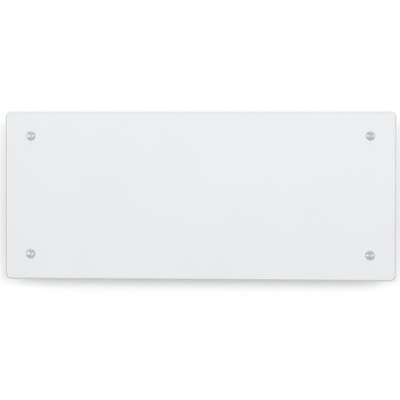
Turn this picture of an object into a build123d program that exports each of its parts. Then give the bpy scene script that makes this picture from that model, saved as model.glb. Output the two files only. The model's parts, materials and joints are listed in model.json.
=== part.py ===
from build123d import *
import math
import os

# A wall-hung panel heater: a glass front on four standoffs, a folded steel casing behind it, and a bracket.
# Sizes are in millimetres. X runs to the right as seen from the room, Y into the wall and Z up.
# The origin is on the wall, in the middle of the four wall screws. A depth is a distance out from the wall.

# Glass front
glass_width = 785.0
glass_height = 340.0
glass_overhang_side = 20.0
glass_overhang_top = 18.0
glass_thickness = 5.0
glass_corner_radius = 12.0
glass_front_bevel = 1.8
glass_rear_arris = 0.6
fixing_inset = 51.0
glass_hole_diameter = 10.0

# Glass fixings
cap_diameter = 16.0
cap_height = 3.2
cap_crown = 0.4
cap_rim_bevel = 1.6
cap_rim_bulge = 0.3
cap_washer_diameter = 18.0
cap_washer_thickness = 0.8
fixing_thread_diameter = 6.0
cap_shank_reach = 5.0
standoff_diameter = 14.0
standoff_length = 10.0
standoff_flats = 12.0
standoff_flat_length = 5.0
standoff_edge = 0.5
glass_gasket_thickness = 1.0
standoff_screw_head_diameter = 11.0
standoff_screw_head_height = 3.2
standoff_screw_head_edge = 1.2
standoff_screw_reach = 4.0

# Casing
wall_gap = 20.0
sheet = 1.0
casing_depth = 50.0
bend_radius = 3.0
return_flange = 14.0
rear_panel_inset = 2.0
rear_rib_length = 620.0
rear_rib_width = 16.0
rear_rib_depth = 2.0
rear_rib_taper = 30.0
rear_rib_rise = 22.0
casing_screw_diameter = 3.4
casing_screw_head_diameter = 7.2
casing_screw_head_height = 2.0
casing_screw_head_edge = 0.9
casing_screw_length = 8.0
casing_screw_inset = 9.0
screws_per_long_edge = 4

# Openings in the casing
top_end_margin = 36.5
pod_gap = 16.0
inlet_slot_length = 30.0
inlet_slot_width = 4.0
inlet_pitch = 11.0
bay_slot_length = 20.0
bay_slot_pitch = 9.0
bay_slot_count = 5

# Outlet grille
grille_width = 42.0
grille_lip = 3.0
grille_rim_thickness = 1.5
grille_rim_edge = 0.6
grille_corner_radius = 3.0
grille_wall = 1.6
grille_depth = 12.0
blade_count = 5
free_blade_pitches = 0.5
blade_thickness = 1.4
blade_tip = 0.9
blade_lean = 5.0
blade_bow = 1.2
cross_rib_pitch = 43.0
cross_rib_thickness = 1.4
cross_rib_height = 7.2
snap_reach = 1.1
snap_height = 4.0
snap_length = 10.0
snap_count = 5

# Heating element
element_end_room = 27.0
element_rise = 90.0
element_hub_radius = 7.5
wing_reach = 35.0
wing_thickness = 1.8
wing_angle = 27.0
wing_bead_radius = 1.6
wing_fin_places = (16.0, 25.0)
wing_fin_length = 7.0
wing_fin_thickness = 1.2
wing_slot_width = 2.5
wing_slot_length = 17.0
wing_slot_pitch = 20.0
rod_diameter = 8.6
rod_overhang = 18.0
rod_pin_diameter = 3.2
rod_pin_length = 9.0
insulator_diameter = 13.6
insulator_flange_diameter = 18.0
insulator_length = 13.0
insulator_flange_thickness = 3.0
bracket_plate = 1.2
bracket_foot = 14.0
bracket_shoulder_radius = 15.0
bracket_window_rise = 40.0
bracket_window_length = 36.0
bracket_window_width = 14.0
rivet_diameter = 4.0
rivet_head_diameter = 7.5
rivet_head_height = 1.2
rivet_head_edge = 0.4
rivet_bulb = 0.8
rivet_spread = 16.5

# Heat shield
shield_gap = 5.0
shield_sheet = 0.6
shield_top_drop = 34.0
shield_bottom_rise = 14.0
shield_left_margin = 12.0
dimple_side_inset = 65.0
dimple_top_inset = 61.0
dimple_bottom_inset = 31.0
dimple_base_radius = 9.0
dimple_top_radius = 6.0
shield_lip = 8.0
lead_grommet_diameter = 12.0
grommet_lip = 1.2
grommet_rim = 1.0

# Thermal cut-out
cutout_diameter = 16.0
cutout_height = 9.0
cutout_edge_radius = 1.6
cutout_rise = 84.0
cutout_blade_width = 6.3
cutout_blade_thickness = 0.8
cutout_blade_length = 9.0
cutout_blade_spread = 9.0
cutout_blade_depth = 5.4
cutout_flange_length = 30.0
cutout_flange_margin = 3.0
cutout_flange_thickness = 0.8

# Control pod
pod_length = 132.0
pod_width = 42.0
pod_corner_radius = 4.0
pod_lip = 3.0
pod_cover_thickness = 2.0
pod_cover_edge = 0.8
pod_wall = 1.8
pod_skirt_depth = 9.0
pod_housing_depth = 28.0
pod_housing_wall = 1.5
window_length = 46.0
window_width = 20.0
window_offset = -34.0
window_ledge = 3.0
window_corner_radius = 2.0
window_ledge_radius = 1.0
lens_thickness = 1.4
lens_proud = 0.2
lens_edge = 0.4
button_length = 14.0
button_width = 11.0
button_pitch = 22.0
first_button_offset = 5.0
button_corner_radius = 3.0
button_proud = 1.3
button_edge_radius = 0.6
button_travel = 0.9
button_collar = 1.5
button_collar_thickness = 1.0
button_stem_diameter = 3.2
board_thickness = 1.6
board_drop = 12.0
board_post_side = 5.0
push_switch_side = 6.0
push_switch_height = 4.0
display_module_length = 44.0
display_module_width = 23.0
relay_length = 20.0
relay_width = 15.0
relay_height = 12.0
relay_corner_radius = 1.0
connector_length = 36.0
connector_width = 12.0
connector_height = 9.0
connector_pitch = 8.0

# Mains rocker switch, in the right-hand side of the casing
switch_drop = 92.0
switch_length = 19.4
switch_width = 14.4
switch_body_depth = 15.0
switch_bezel = 1.8
switch_bezel_thickness = 1.6
switch_bezel_corner_radius = 1.5
switch_bezel_edge = 0.5
switch_wall = 1.0
switch_pin_wall = 0.4
rocker_half_length = 7.6
rocker_tilt = 12.0
rocker_crest = 2.6
rocker_heel = 1.6
rocker_belly = 4.2
rocker_pin_radius = 1.2
rocker_pin_depth = 2.0
switch_blade_width = 4.8
switch_blade_length = 7.0
switch_blade_root = 1.0
switch_blade_thickness = 0.8
switch_blade_pitch = 8.0

# Mains connection
gland_inset = 72.5
gland_hex = 20.0
gland_hex_height = 5.0
gland_dome_diameter = 17.0
gland_dome_height = 10.0
gland_dome_edge_radius = 3.4
gland_thread_diameter = 15.8
gland_thread_length = 11.0
gland_bore_diameter = 8.0
gland_nut_hex = 21.0
gland_nut_height = 4.0
terminal_length = 42.0
terminal_depth = 16.0
terminal_height = 22.0
terminal_edge = 1.5
terminal_rise = 48.0
terminal_pole_pitch = 12.0
terminal_wire_hole = 3.6
terminal_screw_hole = 4.4
terminal_screw_depth = 8.0
terminal_screw_spread = 11.0
earth_inset = 30.5
earth_rise = 74.0
earth_stud_diameter = 4.0
earth_stud_length = 12.0
earth_nut_hex = 7.0
earth_nut_height = 3.2
earth_washer_diameter = 10.0
earth_washer_thickness = 0.8
lead_diameter = 2.6
lead_bend_radius = 7.0
lead_seat = 2.0
neutral_turn_drop = 30.0
neutral_entry_drop = 15.0

# Room sensor, under the casing
sensor_inset = 32.5
sensor_grommet_diameter = 11.0
sensor_grommet_lip = 1.5
sensor_hole_diameter = 8.0
sensor_probe_diameter = 4.6
sensor_probe_drop = 5.0
sensor_probe_rise = 9.0
sensor_nose_radius = 2.0

# Wall bracket
bracket_sheet = 1.5
upright_spacing = 360.0
upright_width = 36.0
upright_depth = 18.0
wall_screw_spread = 160.0
wall_screw_hole = 5.5
upright_top_drop = 14.0
upright_bottom_rise = 42.0
rail_height = 24.0
rail_depth = 8.0
rail_rise = 52.0
hook_top_drop = 12.0
hook_bottom_rise = 40.0
hook_arm = 8.0
hook_lip = 7.0
hook_lip_thickness = 3.0
hook_tip_height = 2.1
hook_tip_offset = 0.9
window_side_room = 4.0
window_drop = 22.0

# Lock levers
lever_drop = 34.0
lever_thickness = 4.0
lever_hub_radius = 9.0
lever_nose_reach = 21.0
lever_nose_width = 8.0
lever_handle_reach = 40.0
lever_handle_width = 11.0
lever_ridge_count = 3
lever_ridge_pitch = 4.0
lever_ridge_width = 8.8
lever_ridge_thickness = 1.5
lever_ridge_height = 1.0
lever_ridge_inset = 3.0
lever_rivet_diameter = 6.0
lever_rivet_head_diameter = 12.0
lever_rivet_head_height = 1.4
lever_rivet_head_edge = 0.7
lever_seat_radius = 12.0
lever_boss_radius = 11.0
lever_boss_top_radius = 8.5
lever_boss_height = 6.5
lever_play = 0.2
tongue_width = 12.0
tongue_reach = 14.0
tongue_thickness = 1.0
tongue_play = 0.5
tongue_root = 1.0

# Rubber buffers, from the rear panel to the wall
buffer_diameter = 16.0
buffer_neck_diameter = 5.0
buffer_head_diameter = 8.0
buffer_head_height = 2.0
buffer_edge_radius = 1.6
buffer_inset_x = 32.0
buffer_inset_z = 24.0

# Clearances
fit_clearance = 0.3
hole_clearance = 0.2
pin_clearance = 0.06
seat_clearance = 0.1

# How far a cut runs past each face that it goes through
cut_margin = 1.0

# Places that follow from the sizes above
casing_width = glass_width - 2 * glass_overhang_side
casing_height = glass_height - 2 * glass_overhang_top
casing_back = wall_gap + sheet
casing_front = casing_back + casing_depth
casing_middle = (casing_back + casing_front) / 2
casing_top = casing_height / 2
casing_bottom = -casing_height / 2
casing_side = casing_width / 2
element_z = casing_bottom + element_rise
shield_top = casing_top - shield_top_drop
shield_bottom = casing_bottom + shield_bottom_rise
switch_z = casing_top - switch_drop
gland_x = casing_side - gland_inset
terminal_z = casing_bottom + terminal_rise
earth_x = casing_side - earth_inset
earth_z = casing_bottom + earth_rise
sensor_x = casing_side - sensor_inset
lever_z = casing_top - lever_drop
upright_top = lever_z - upright_top_drop
upright_bottom = casing_bottom + upright_bottom_rise
hook_rises = (upright_top - hook_top_drop, upright_bottom + hook_bottom_rise)
standoff_front = casing_front + standoff_length
glass_back = standoff_front + glass_gasket_thickness
glass_front = glass_back + glass_thickness
cap_base = glass_front + cap_washer_thickness
fixing_x = glass_width / 2 - fixing_inset
fixing_z = glass_height / 2 - fixing_inset
outlet_left = -casing_side + top_end_margin
outlet_length = casing_width - 2 * top_end_margin - pod_length - pod_gap
outlet_middle = outlet_left + outlet_length / 2
element_length = outlet_length - 2 * element_end_room
pod_middle = casing_side - top_end_margin - pod_length / 2
connector_x = pod_middle + first_button_offset + button_pitch
partition_x = outlet_left + outlet_length + pod_gap / 2
shield_back = casing_back + shield_gap
lead_run_rise = casing_bottom + sheet + bracket_window_rise
shield_left = outlet_left - shield_left_margin
element_bracket_offset = element_length / 2 + insulator_length / 2 + insulator_flange_thickness
rod_length = 2 * (element_bracket_offset + rod_overhang)
upright_x = upright_spacing / 2
hole_radius = fixing_thread_diameter / 2 + seat_clearance
lever_back = bracket_sheet + lever_boss_height + lever_play
board_top = casing_top - board_drop + board_thickness
housing_floor = casing_top - pod_housing_depth
switch_pivot_x = casing_side - rocker_crest

LOW = (Align.CENTER, Align.CENTER, Align.MIN)
HIGH = (Align.CENTER, Align.CENTER, Align.MAX)
FIXINGS = {
    "top_left": (-fixing_x, fixing_z),
    "top_right": (fixing_x, fixing_z),
    "bottom_left": (-fixing_x, -fixing_z),
    "bottom_right": (fixing_x, -fixing_z),
}


def at_depth(depth):
    """Plane along the wall, drawn as seen from the room. What is raised on it grows out from the wall."""
    return Plane.XZ.offset(depth)


def across(x):
    """Plane square to the heater's length. Its first direction is out from the wall, its second is up."""
    return Plane(origin=(x, 0, 0), x_dir=(0, -1, 0), z_dir=(-1, 0, 0))


def slab(sketch, depth, thickness):
    return extrude(at_depth(depth) * sketch, thickness)


def layer(sketch, height, thickness):
    return extrude(Plane.XY.offset(height) * sketch, thickness)


def slab_cut(sketch, depth, thickness):
    """What to take away for a hole of this outline right through a sheet at this depth."""
    return slab(sketch, depth - cut_margin, thickness + 2 * cut_margin)


def layer_cut(sketch, height, thickness):
    return layer(sketch, height - cut_margin, thickness + 2 * cut_margin)


def bar(sketch, x, length):
    """A section drawn on a plane across the heater, run half its length to each side of x."""
    return extrude(across(x) * sketch, length / 2, both=True)


def spaced(count, pitch):
    """Places of a row of equal steps, about zero."""
    return [(i - (count - 1) / 2) * pitch for i in range(count)]


def group(pieces):
    return Compound(children=[solid for piece in pieces for solid in piece.solids()])


def edges_at_depth(piece, depth):
    return piece.edges().filter_by_position(Axis.Y, -depth - 0.01, -depth + 0.01)


# Glass front and its fixings


def glass_panel():
    outline = RectangleRounded(glass_width, glass_height, glass_corner_radius)
    panel = slab(outline, glass_back, glass_thickness)
    panel = chamfer(edges_at_depth(panel, glass_front), glass_front_bevel)
    panel = chamfer(edges_at_depth(panel, glass_back), glass_rear_arris)
    for x, z in FIXINGS.values():
        panel -= slab_cut(Pos(x, z) * Circle(glass_hole_diameter / 2), glass_back, glass_thickness)
    return panel


def fixing_cap(x, z):
    """A turned cap with a crowned face and a round rim, on a screwed shank that goes through the glass."""
    radius = cap_diameter / 2
    side = cap_height - cap_rim_bevel
    shoulder = (radius - cap_rim_bevel, cap_height - cap_crown)
    outline = Polyline((0, cap_height), (0, 0), (radius, 0), (radius, side))
    outline += SagittaArc((radius, side), shoulder, -cap_rim_bulge)
    outline += TangentArc((0, cap_height), shoulder, tangent=(1, 0))
    head = revolve(Plane.XZ * make_face(outline), Axis.Z)
    shank_length = cap_base - standoff_front + cap_shank_reach
    shank = Cylinder(fixing_thread_diameter / 2, shank_length, align=HIGH)
    return at_depth(cap_base) * Pos(x, z) * (head + shank)


def ring(x, z, outer, inner, depth, thickness):
    return slab(Pos(x, z) * (Circle(outer / 2) - Circle(inner / 2)), depth, thickness)


def cap_washers():
    hole = 2 * hole_radius
    return group(
        ring(x, z, cap_washer_diameter, hole, glass_front, cap_washer_thickness)
        for x, z in FIXINGS.values()
    )


def glass_bushes():
    outer = glass_hole_diameter - 2 * seat_clearance
    return group(
        ring(x, z, outer, 2 * hole_radius, glass_back, glass_thickness)
        for x, z in FIXINGS.values()
    )


def glass_gaskets():
    return group(
        ring(x, z, standoff_diameter, 2 * hole_radius, standoff_front, glass_gasket_thickness)
        for x, z in FIXINGS.values()
    )


def standoff(x, z):
    """A round spacer with two spanner flats, bored for the cap in front and the casing screw behind."""
    body = Cylinder(standoff_diameter / 2, standoff_length, align=LOW)
    body = chamfer(body.edges(), standoff_edge)
    blank = standoff_diameter + 2 * cut_margin
    waist = Rectangle(blank, blank) - Rectangle(blank, standoff_flats)
    body -= layer(waist, (standoff_length - standoff_flat_length) / 2, standoff_flat_length)
    body -= Cylinder(hole_radius, standoff_length, align=LOW)
    return at_depth(casing_front) * Pos(x, z) * body


def standoff_screws():
    shank_length = sheet + standoff_screw_reach
    head = Cylinder(standoff_screw_head_diameter / 2, standoff_screw_head_height, align=HIGH)
    head = chamfer(head.edges().group_by(Axis.Z)[0], standoff_screw_head_edge)
    screw = head + Cylinder(fixing_thread_diameter / 2, shank_length, align=LOW)
    return group(at_depth(casing_front - sheet) * Pos(x, z) * screw for x, z in FIXINGS.values())


# Casing


def folded_block(width, height, back, front, radius):
    block = Pos(0, -(back + front) / 2, 0) * Box(width, front - back, height)
    return fillet(block.edges(), radius)


def top_opening(middle, length, width):
    return layer_cut(Pos(middle, -casing_middle) * Rectangle(length, width), casing_top - sheet, sheet)


def slot_row(middle, count, pitch, length):
    return [
        Pos(middle + x, -casing_middle) * SlotOverall(length, inlet_slot_width, rotation=90)
        for x in spaced(count, pitch)
    ]


def front_casing():
    """One folded sheet: a front, four sides and a narrow flange turned in all round the open back."""
    pan = folded_block(casing_width, casing_height, casing_back, casing_front, bend_radius)
    pan -= folded_block(
        casing_width - 2 * sheet,
        casing_height - 2 * sheet,
        casing_back + sheet,
        casing_front - sheet,
        bend_radius - sheet,
    )
    back_hole = Rectangle(casing_width - 2 * return_flange, casing_height - 2 * return_flange)
    pan -= slab_cut(back_hole, casing_back, sheet)
    pan -= top_opening(outlet_middle, outlet_length - 2 * grille_lip, grille_width - 2 * grille_lip)
    pan -= top_opening(pod_middle, pod_length - 2 * pod_lip, pod_width - 2 * pod_lip)
    inlet_room = element_length - 2 * bracket_foot
    slots = slot_row(outlet_middle, int(inlet_room / inlet_pitch), inlet_pitch, inlet_slot_length)
    bay_middle = (partition_x + gland_x) / 2
    slots += slot_row(bay_middle, bay_slot_count, bay_slot_pitch, bay_slot_length)
    slots += [Pos(gland_x, -casing_middle) * Circle(gland_thread_diameter / 2 + hole_clearance)]
    slots += [Pos(sensor_x, -casing_middle) * Circle(sensor_hole_diameter / 2 + hole_clearance)]
    slots += [Pos(x, y) * Circle(rivet_diameter / 2 + seat_clearance) for x, y in rivet_places()]
    pan -= [layer_cut(slot, casing_bottom, sheet) for slot in slots]
    for x, z in FIXINGS.values():
        pan -= slab_cut(Pos(x, z) * Circle(hole_radius), casing_front - sheet, sheet)
    screw_hole = Circle(casing_screw_diameter / 2 + seat_clearance)
    pan -= [slab_cut(Pos(x, z) * screw_hole, casing_back, sheet) for x, z in casing_screw_places()]
    switch_hole = Rectangle(switch_width + 2 * hole_clearance, switch_length + 2 * hole_clearance)
    pan -= bar(Pos(casing_middle, switch_z) * switch_hole, casing_side - sheet / 2, sheet + 2 * cut_margin)
    return pan


def casing_screw_places():
    x_edge = casing_side - casing_screw_inset
    z_edge = casing_top - casing_screw_inset
    along = spaced(screws_per_long_edge, 2 * (x_edge - casing_screw_inset) / (screws_per_long_edge - 1))
    places = [(x, z) for x in along for z in (z_edge, -z_edge)]
    return places + [(x_edge, 0), (-x_edge, 0)]


def hook_window(x, rise):
    width = upright_width + 2 * window_side_room
    return Pos(x, rise - window_drop / 2) * Rectangle(width, window_drop)


def lock_side(side):
    """Middle of the lock tongue: under the nose of that side's lever, which points to the heater's middle."""
    return side * (upright_x - lever_nose_reach + tongue_width / 2)


def rear_panel():
    """A flat back with pressed ribs, four hook windows, two lock tongues and vents for the electrics."""
    outline = RectangleRounded(
        casing_width - 2 * rear_panel_inset, casing_height - 2 * rear_panel_inset, bend_radius
    )
    panel = slab(outline, wall_gap, sheet)
    for z in (rear_rib_rise, -rear_rib_rise):
        rib = Pos(0, z) * SlotOverall(rear_rib_length, rear_rib_width)
        groove = Pos(0, z) * SlotOverall(rear_rib_length - 2 * sheet, rear_rib_width - 2 * sheet)
        panel += extrude(at_depth(casing_back) * rib, rear_rib_depth, taper=rear_rib_taper)
        panel -= extrude(at_depth(wall_gap) * groove, rear_rib_depth, taper=rear_rib_taper)
    for side in (-1, 1):
        for rise in hook_rises:
            panel -= slab_cut(hook_window(side * upright_x, rise), wall_gap, sheet)
        panel += lock_tongue(side)
    screw_hole = Circle(casing_screw_diameter / 2 + hole_clearance)
    panel -= [slab_cut(Pos(x, z) * screw_hole, wall_gap, sheet) for x, z in casing_screw_places()]
    neck_hole = Circle(buffer_neck_diameter / 2 + hole_clearance)
    panel -= [slab_cut(Pos(x, z) * neck_hole, wall_gap, sheet) for x, z in buffer_places()]
    vent = SlotOverall(bay_slot_length, inlet_slot_width, rotation=90)
    panel -= [
        slab_cut(Pos(pod_middle + x, 0) * vent, wall_gap, sheet)
        for x in spaced(bay_slot_count, bay_slot_pitch)
    ]
    return panel


def lock_tongue(side):
    """A strip of the rear panel turned back towards the wall, with a foot where it leaves the sheet."""
    top = lever_z - lever_nose_width / 2 - tongue_play
    x = lock_side(side)
    middle = Pos(x, top - tongue_thickness / 2)
    strip = slab(middle * Rectangle(tongue_width, tongue_thickness), wall_gap - tongue_reach, tongue_reach)
    foot = middle * Rectangle(tongue_width, tongue_thickness + 2 * tongue_root)
    return strip + slab(foot, wall_gap - tongue_root, tongue_root)


def rear_panel_screws():
    head = Cylinder(casing_screw_head_diameter / 2, casing_screw_head_height, align=HIGH)
    head = chamfer(head.edges().group_by(Axis.Z)[0], casing_screw_head_edge)
    screw = head + Cylinder(casing_screw_diameter / 2, casing_screw_length, align=LOW)
    return group(at_depth(wall_gap) * Pos(x, z) * screw for x, z in casing_screw_places())


def buffer_places():
    z = casing_bottom + buffer_inset_z
    return [(side * (casing_side - buffer_inset_x), z) for side in (-1, 1)]


def wall_buffer(x, z):
    """A rubber foot that keeps the lower edge off the wall, with a neck and barb through the rear panel."""
    foot = Cylinder(buffer_diameter / 2, wall_gap, align=LOW)
    foot = fillet(foot.edges().group_by(Axis.Z)[0], buffer_edge_radius)
    neck = Cylinder(buffer_neck_diameter / 2, wall_gap + sheet, align=LOW)
    barb = Pos(0, 0, wall_gap + sheet) * Cone(
        buffer_head_diameter / 2, buffer_neck_diameter / 2, buffer_head_height, align=LOW
    )
    return at_depth(0) * Pos(x, z) * (foot + neck + barb)


# Outlet grille


def snap_hooks(length, width, places):
    """Small wedges on both long walls of a top fitting, which spring out under the casing's sheet."""
    top = casing_top - sheet - seat_clearance
    hooks = []
    for side in (-1, 1):
        face = casing_middle + side * width / 2
        wedge = make_face(
            Polyline((face, top), (face + side * snap_reach, top), (face, top - snap_height), close=True)
        )
        hooks += [bar(wedge, x, snap_length) for x in places]
    return hooks


def grille_blade(depth):
    """Section of one blade: a thin crescent that leans out, so that the warm air is thrown into the room."""
    low = casing_top - grille_depth
    high = casing_top + grille_rim_thickness
    root = (depth, low)
    tip = (depth + blade_lean, high)
    tip_front = (depth + blade_lean + blade_tip, high)
    root_front = (depth + blade_thickness, low)
    back = SagittaArc(root, tip, blade_bow)
    front = SagittaArc(tip_front, root_front, -blade_bow)
    return make_face(back + Line(tip, tip_front) + front + Line(root_front, root))


def outlet_grille():
    """One moulding: a rim, four walls, long curved blades, cross ribs under them and snap hooks."""
    place = Pos(outlet_middle, -casing_middle)
    body_length = outlet_length - 2 * grille_lip - 2 * fit_clearance
    body_width = grille_width - 2 * grille_lip - 2 * fit_clearance
    hole_length = body_length - 2 * grille_wall
    hole_width = body_width - 2 * grille_wall
    low = casing_top - grille_depth
    rim = layer(place * RectangleRounded(outlet_length, grille_width, grille_corner_radius), casing_top,
                grille_rim_thickness)
    rim = chamfer(rim.edges().group_by(Axis.Z)[-1], grille_rim_edge)
    walls = layer(place * Rectangle(body_length, body_width), low, grille_depth + grille_rim_thickness / 2)
    grille = rim + walls
    hole = place * Rectangle(hole_length, hole_width)
    grille -= layer_cut(hole, low, grille_depth + grille_rim_thickness)
    pitch = hole_width / (blade_count + free_blade_pitches)
    middle_root = casing_middle - (blade_lean + blade_thickness) / 2
    blades = [
        bar(grille_blade(middle_root + step), outlet_middle, hole_length + grille_wall)
        for step in spaced(blade_count, pitch)
    ]
    rib = Rectangle(cross_rib_thickness, hole_width + grille_wall)
    ribs = [
        layer(Pos(outlet_middle + x, -casing_middle) * rib, low, cross_rib_height)
        for x in spaced(int(hole_length / cross_rib_pitch), cross_rib_pitch)
    ]
    hook_places = [outlet_middle + x for x in spaced(snap_count, body_length / snap_count)]
    return grille + blades + ribs + snap_hooks(body_length, body_width, hook_places)


# Heating element


def element_section():
    """Four wings on a bored hub, each with a beaded tip and two short fins."""
    section = Sketch() + Circle(element_hub_radius)
    for angle in (wing_angle, -wing_angle, 180 + wing_angle, 180 - wing_angle):
        wing = Pos(0, wing_reach / 2) * Rectangle(wing_thickness, wing_reach)
        wing += Pos(0, wing_reach) * Circle(wing_bead_radius)
        for reach in wing_fin_places:
            wing += Pos(0, reach) * Rectangle(wing_fin_length, wing_fin_thickness)
        section += Rot(0, 0, angle) * wing
    return section - Circle(rod_diameter / 2 + hole_clearance)


def heating_element():
    """The extrusion, with a row of slots cut through each wing."""
    place = Pos(casing_middle, element_z)
    extrusion = bar(place * element_section(), outlet_middle, element_length)
    slot_middle = (element_hub_radius + wing_reach) / 2
    steps = spaced(int(element_length / wing_slot_pitch) - 1, wing_slot_pitch)
    cutters = [
        across(outlet_middle) * place * Rot(0, 0, angle) * Pos(0, slot_middle, step)
        * Box(2 * wing_fin_length, wing_slot_length, wing_slot_width)
        for angle in (wing_angle, -wing_angle, 180 + wing_angle, 180 - wing_angle)
        for step in steps
    ]
    return extrusion - cutters


def heating_rod():
    place = Pos(casing_middle, element_z)
    sheath = bar(place * Circle(rod_diameter / 2), outlet_middle, rod_length - 2 * rod_pin_length)
    pins = bar(place * Circle(rod_pin_diameter / 2), outlet_middle, rod_length)
    return sheath + pins


def element_insulator(side):
    """A stepped ceramic bush: its flange lies against the bracket, on the element's side."""
    place = Pos(casing_middle, element_z)
    plate_x = outlet_middle + side * element_bracket_offset
    bore = rod_diameter / 2 + hole_clearance
    barrel = bar(place * Circle(insulator_diameter / 2), plate_x, insulator_length)
    flange_x = plate_x - side * (bracket_plate + insulator_flange_thickness) / 2
    flange = bar(place * Circle(insulator_flange_diameter / 2), flange_x, insulator_flange_thickness)
    return barrel + flange - bar(place * Circle(bore), plate_x, insulator_length + 2 * cut_margin)


def element_bracket(side):
    """A plate with a round shoulder for the rod's insulator, on a foot riveted to the casing's floor."""
    plate_x = outlet_middle + side * element_bracket_offset
    floor = casing_bottom + sheet
    stem = element_z - floor
    profile = Pos(casing_middle, floor + stem / 2) * Rectangle(2 * bracket_shoulder_radius, stem)
    profile += Pos(casing_middle, element_z) * Circle(bracket_shoulder_radius)
    profile -= Pos(casing_middle, element_z) * Circle(insulator_diameter / 2 + seat_clearance)
    profile -= Pos(casing_middle, lead_run_rise) * SlotOverall(
        bracket_window_length, bracket_window_width, rotation=90
    )
    foot_x = plate_x + side * (bracket_foot - bracket_plate) / 2
    foot = layer(Pos(foot_x, -casing_middle) * Rectangle(bracket_foot, 2 * bracket_shoulder_radius), floor,
                 bracket_plate)
    rivet_hole = Circle(rivet_diameter / 2 + seat_clearance)
    foot -= [layer_cut(Pos(x, y) * rivet_hole, floor, bracket_plate) for x, y in rivet_places()]
    return bar(profile, plate_x, bracket_plate) + foot


def rivet_places():
    places = []
    for side in (-1, 1):
        x = outlet_middle + side * (element_bracket_offset + bracket_foot / 2)
        places += [(x, -casing_middle + y) for y in spaced(2, rivet_spread)]
    return places


def element_rivets():
    """Blind rivets put in from below: a flat head outside, a shank through both sheets, a bulb inside."""
    grip = sheet + bracket_plate
    head = Cylinder(rivet_head_diameter / 2, rivet_head_height, align=HIGH)
    head = chamfer(head.edges().group_by(Axis.Z)[0], rivet_head_edge)
    shank = Cylinder(rivet_diameter / 2, grip, align=LOW)
    bulb = Pos(0, 0, grip) * Cylinder(rivet_diameter / 2 + rivet_bulb, rivet_head_height, align=LOW)
    return group(Pos(x, y, casing_bottom) * (head + shank + bulb) for x, y in rivet_places())


def heat_shield():
    """A thin sheet behind the element, set off on pressed dimples, with a partition at its right."""
    width = partition_x - shield_left
    height = shield_top - shield_bottom
    middle_x = (partition_x + shield_left) / 2
    middle_z = (shield_top + shield_bottom) / 2
    shield = slab(Pos(middle_x, middle_z) * Rectangle(width, height), shield_back, shield_sheet)
    for x in (shield_left + dimple_side_inset, middle_x, partition_x - dimple_side_inset):
        for z in (shield_top - dimple_top_inset, shield_bottom + dimple_bottom_inset):
            base = at_depth(casing_back) * Pos(x, z)
            shield += base * Cone(dimple_top_radius, dimple_base_radius, shield_gap, align=LOW)
            shield -= base * Pos(0, 0, shield_sheet) * Cone(
                dimple_top_radius - shield_sheet, dimple_base_radius - shield_sheet, shield_gap, align=LOW
            )
    reach = casing_front - sheet - fit_clearance - shield_back
    wall = Pos(shield_back + reach / 2, middle_z) * Rectangle(reach, height)
    wall -= Pos(casing_middle, element_z) * Circle(lead_grommet_diameter / 2)
    wall -= Pos(casing_middle, lead_run_rise) * Circle(lead_grommet_diameter / 2)
    shield += bar(wall, partition_x - shield_sheet / 2, shield_sheet)
    lip = slab(Pos(partition_x - shield_lip / 2, middle_z) * Rectangle(shield_lip, height),
               shield_back + reach - shield_sheet, shield_sheet)
    return shield + lip


def lead_grommets():
    """Rubber bushes for the leads, in the two holes of the partition."""
    pieces = []
    for rise in (element_z, lead_run_rise):
        place = Pos(casing_middle, rise)
        outer = lead_grommet_diameter / 2
        middle = partition_x - shield_sheet / 2
        length = shield_sheet + 2 * grommet_lip
        body = bar(place * Circle(outer - seat_clearance), middle, length)
        for side in (-1, 1):
            lip_x = middle + side * (shield_sheet + grommet_lip) / 2
            body += bar(place * Circle(outer + grommet_rim), lip_x, grommet_lip)
        bore = place * Circle(lead_diameter / 2 + seat_clearance)
        pieces.append(body - bar(bore, middle, length + 2 * cut_margin))
    return group(pieces)


def thermal_cutout():
    """A round bimetal switch, face to the shield, with a flange under its rim and two blades."""
    depth = shield_back + shield_sheet
    rise = element_z + cutout_rise
    place = Pos(outlet_middle, rise)
    body = at_depth(depth) * place * Cylinder(cutout_diameter / 2, cutout_height, align=LOW)
    body = fillet(body.edges().group_by(Axis.Y)[0], cutout_edge_radius)
    for step in spaced(2, cutout_blade_spread):
        blade = Pos(outlet_middle + step, rise + cutout_diameter / 2)
        body += slab(blade * Rectangle(cutout_blade_width, 2 * cutout_blade_length),
                     depth + cutout_blade_depth, cutout_blade_thickness)
    return body


def cutout_flange():
    """The sprung plate that holds the cut-out to the shield, as a ring round its body with two ears."""
    rise = element_z + cutout_rise
    depth = shield_back + shield_sheet
    flange_width = cutout_diameter + 2 * cutout_flange_margin
    plate = Pos(outlet_middle, rise) * SlotOverall(cutout_flange_length, flange_width)
    plate -= Pos(outlet_middle, rise) * Circle(cutout_diameter / 2 + seat_clearance)
    return slab(plate, depth, cutout_flange_thickness)


# Control pod


def button_places():
    return {
        name: pod_middle + first_button_offset + i * button_pitch
        for i, name in enumerate(("minus", "plus", "mode"))
    }


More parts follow.
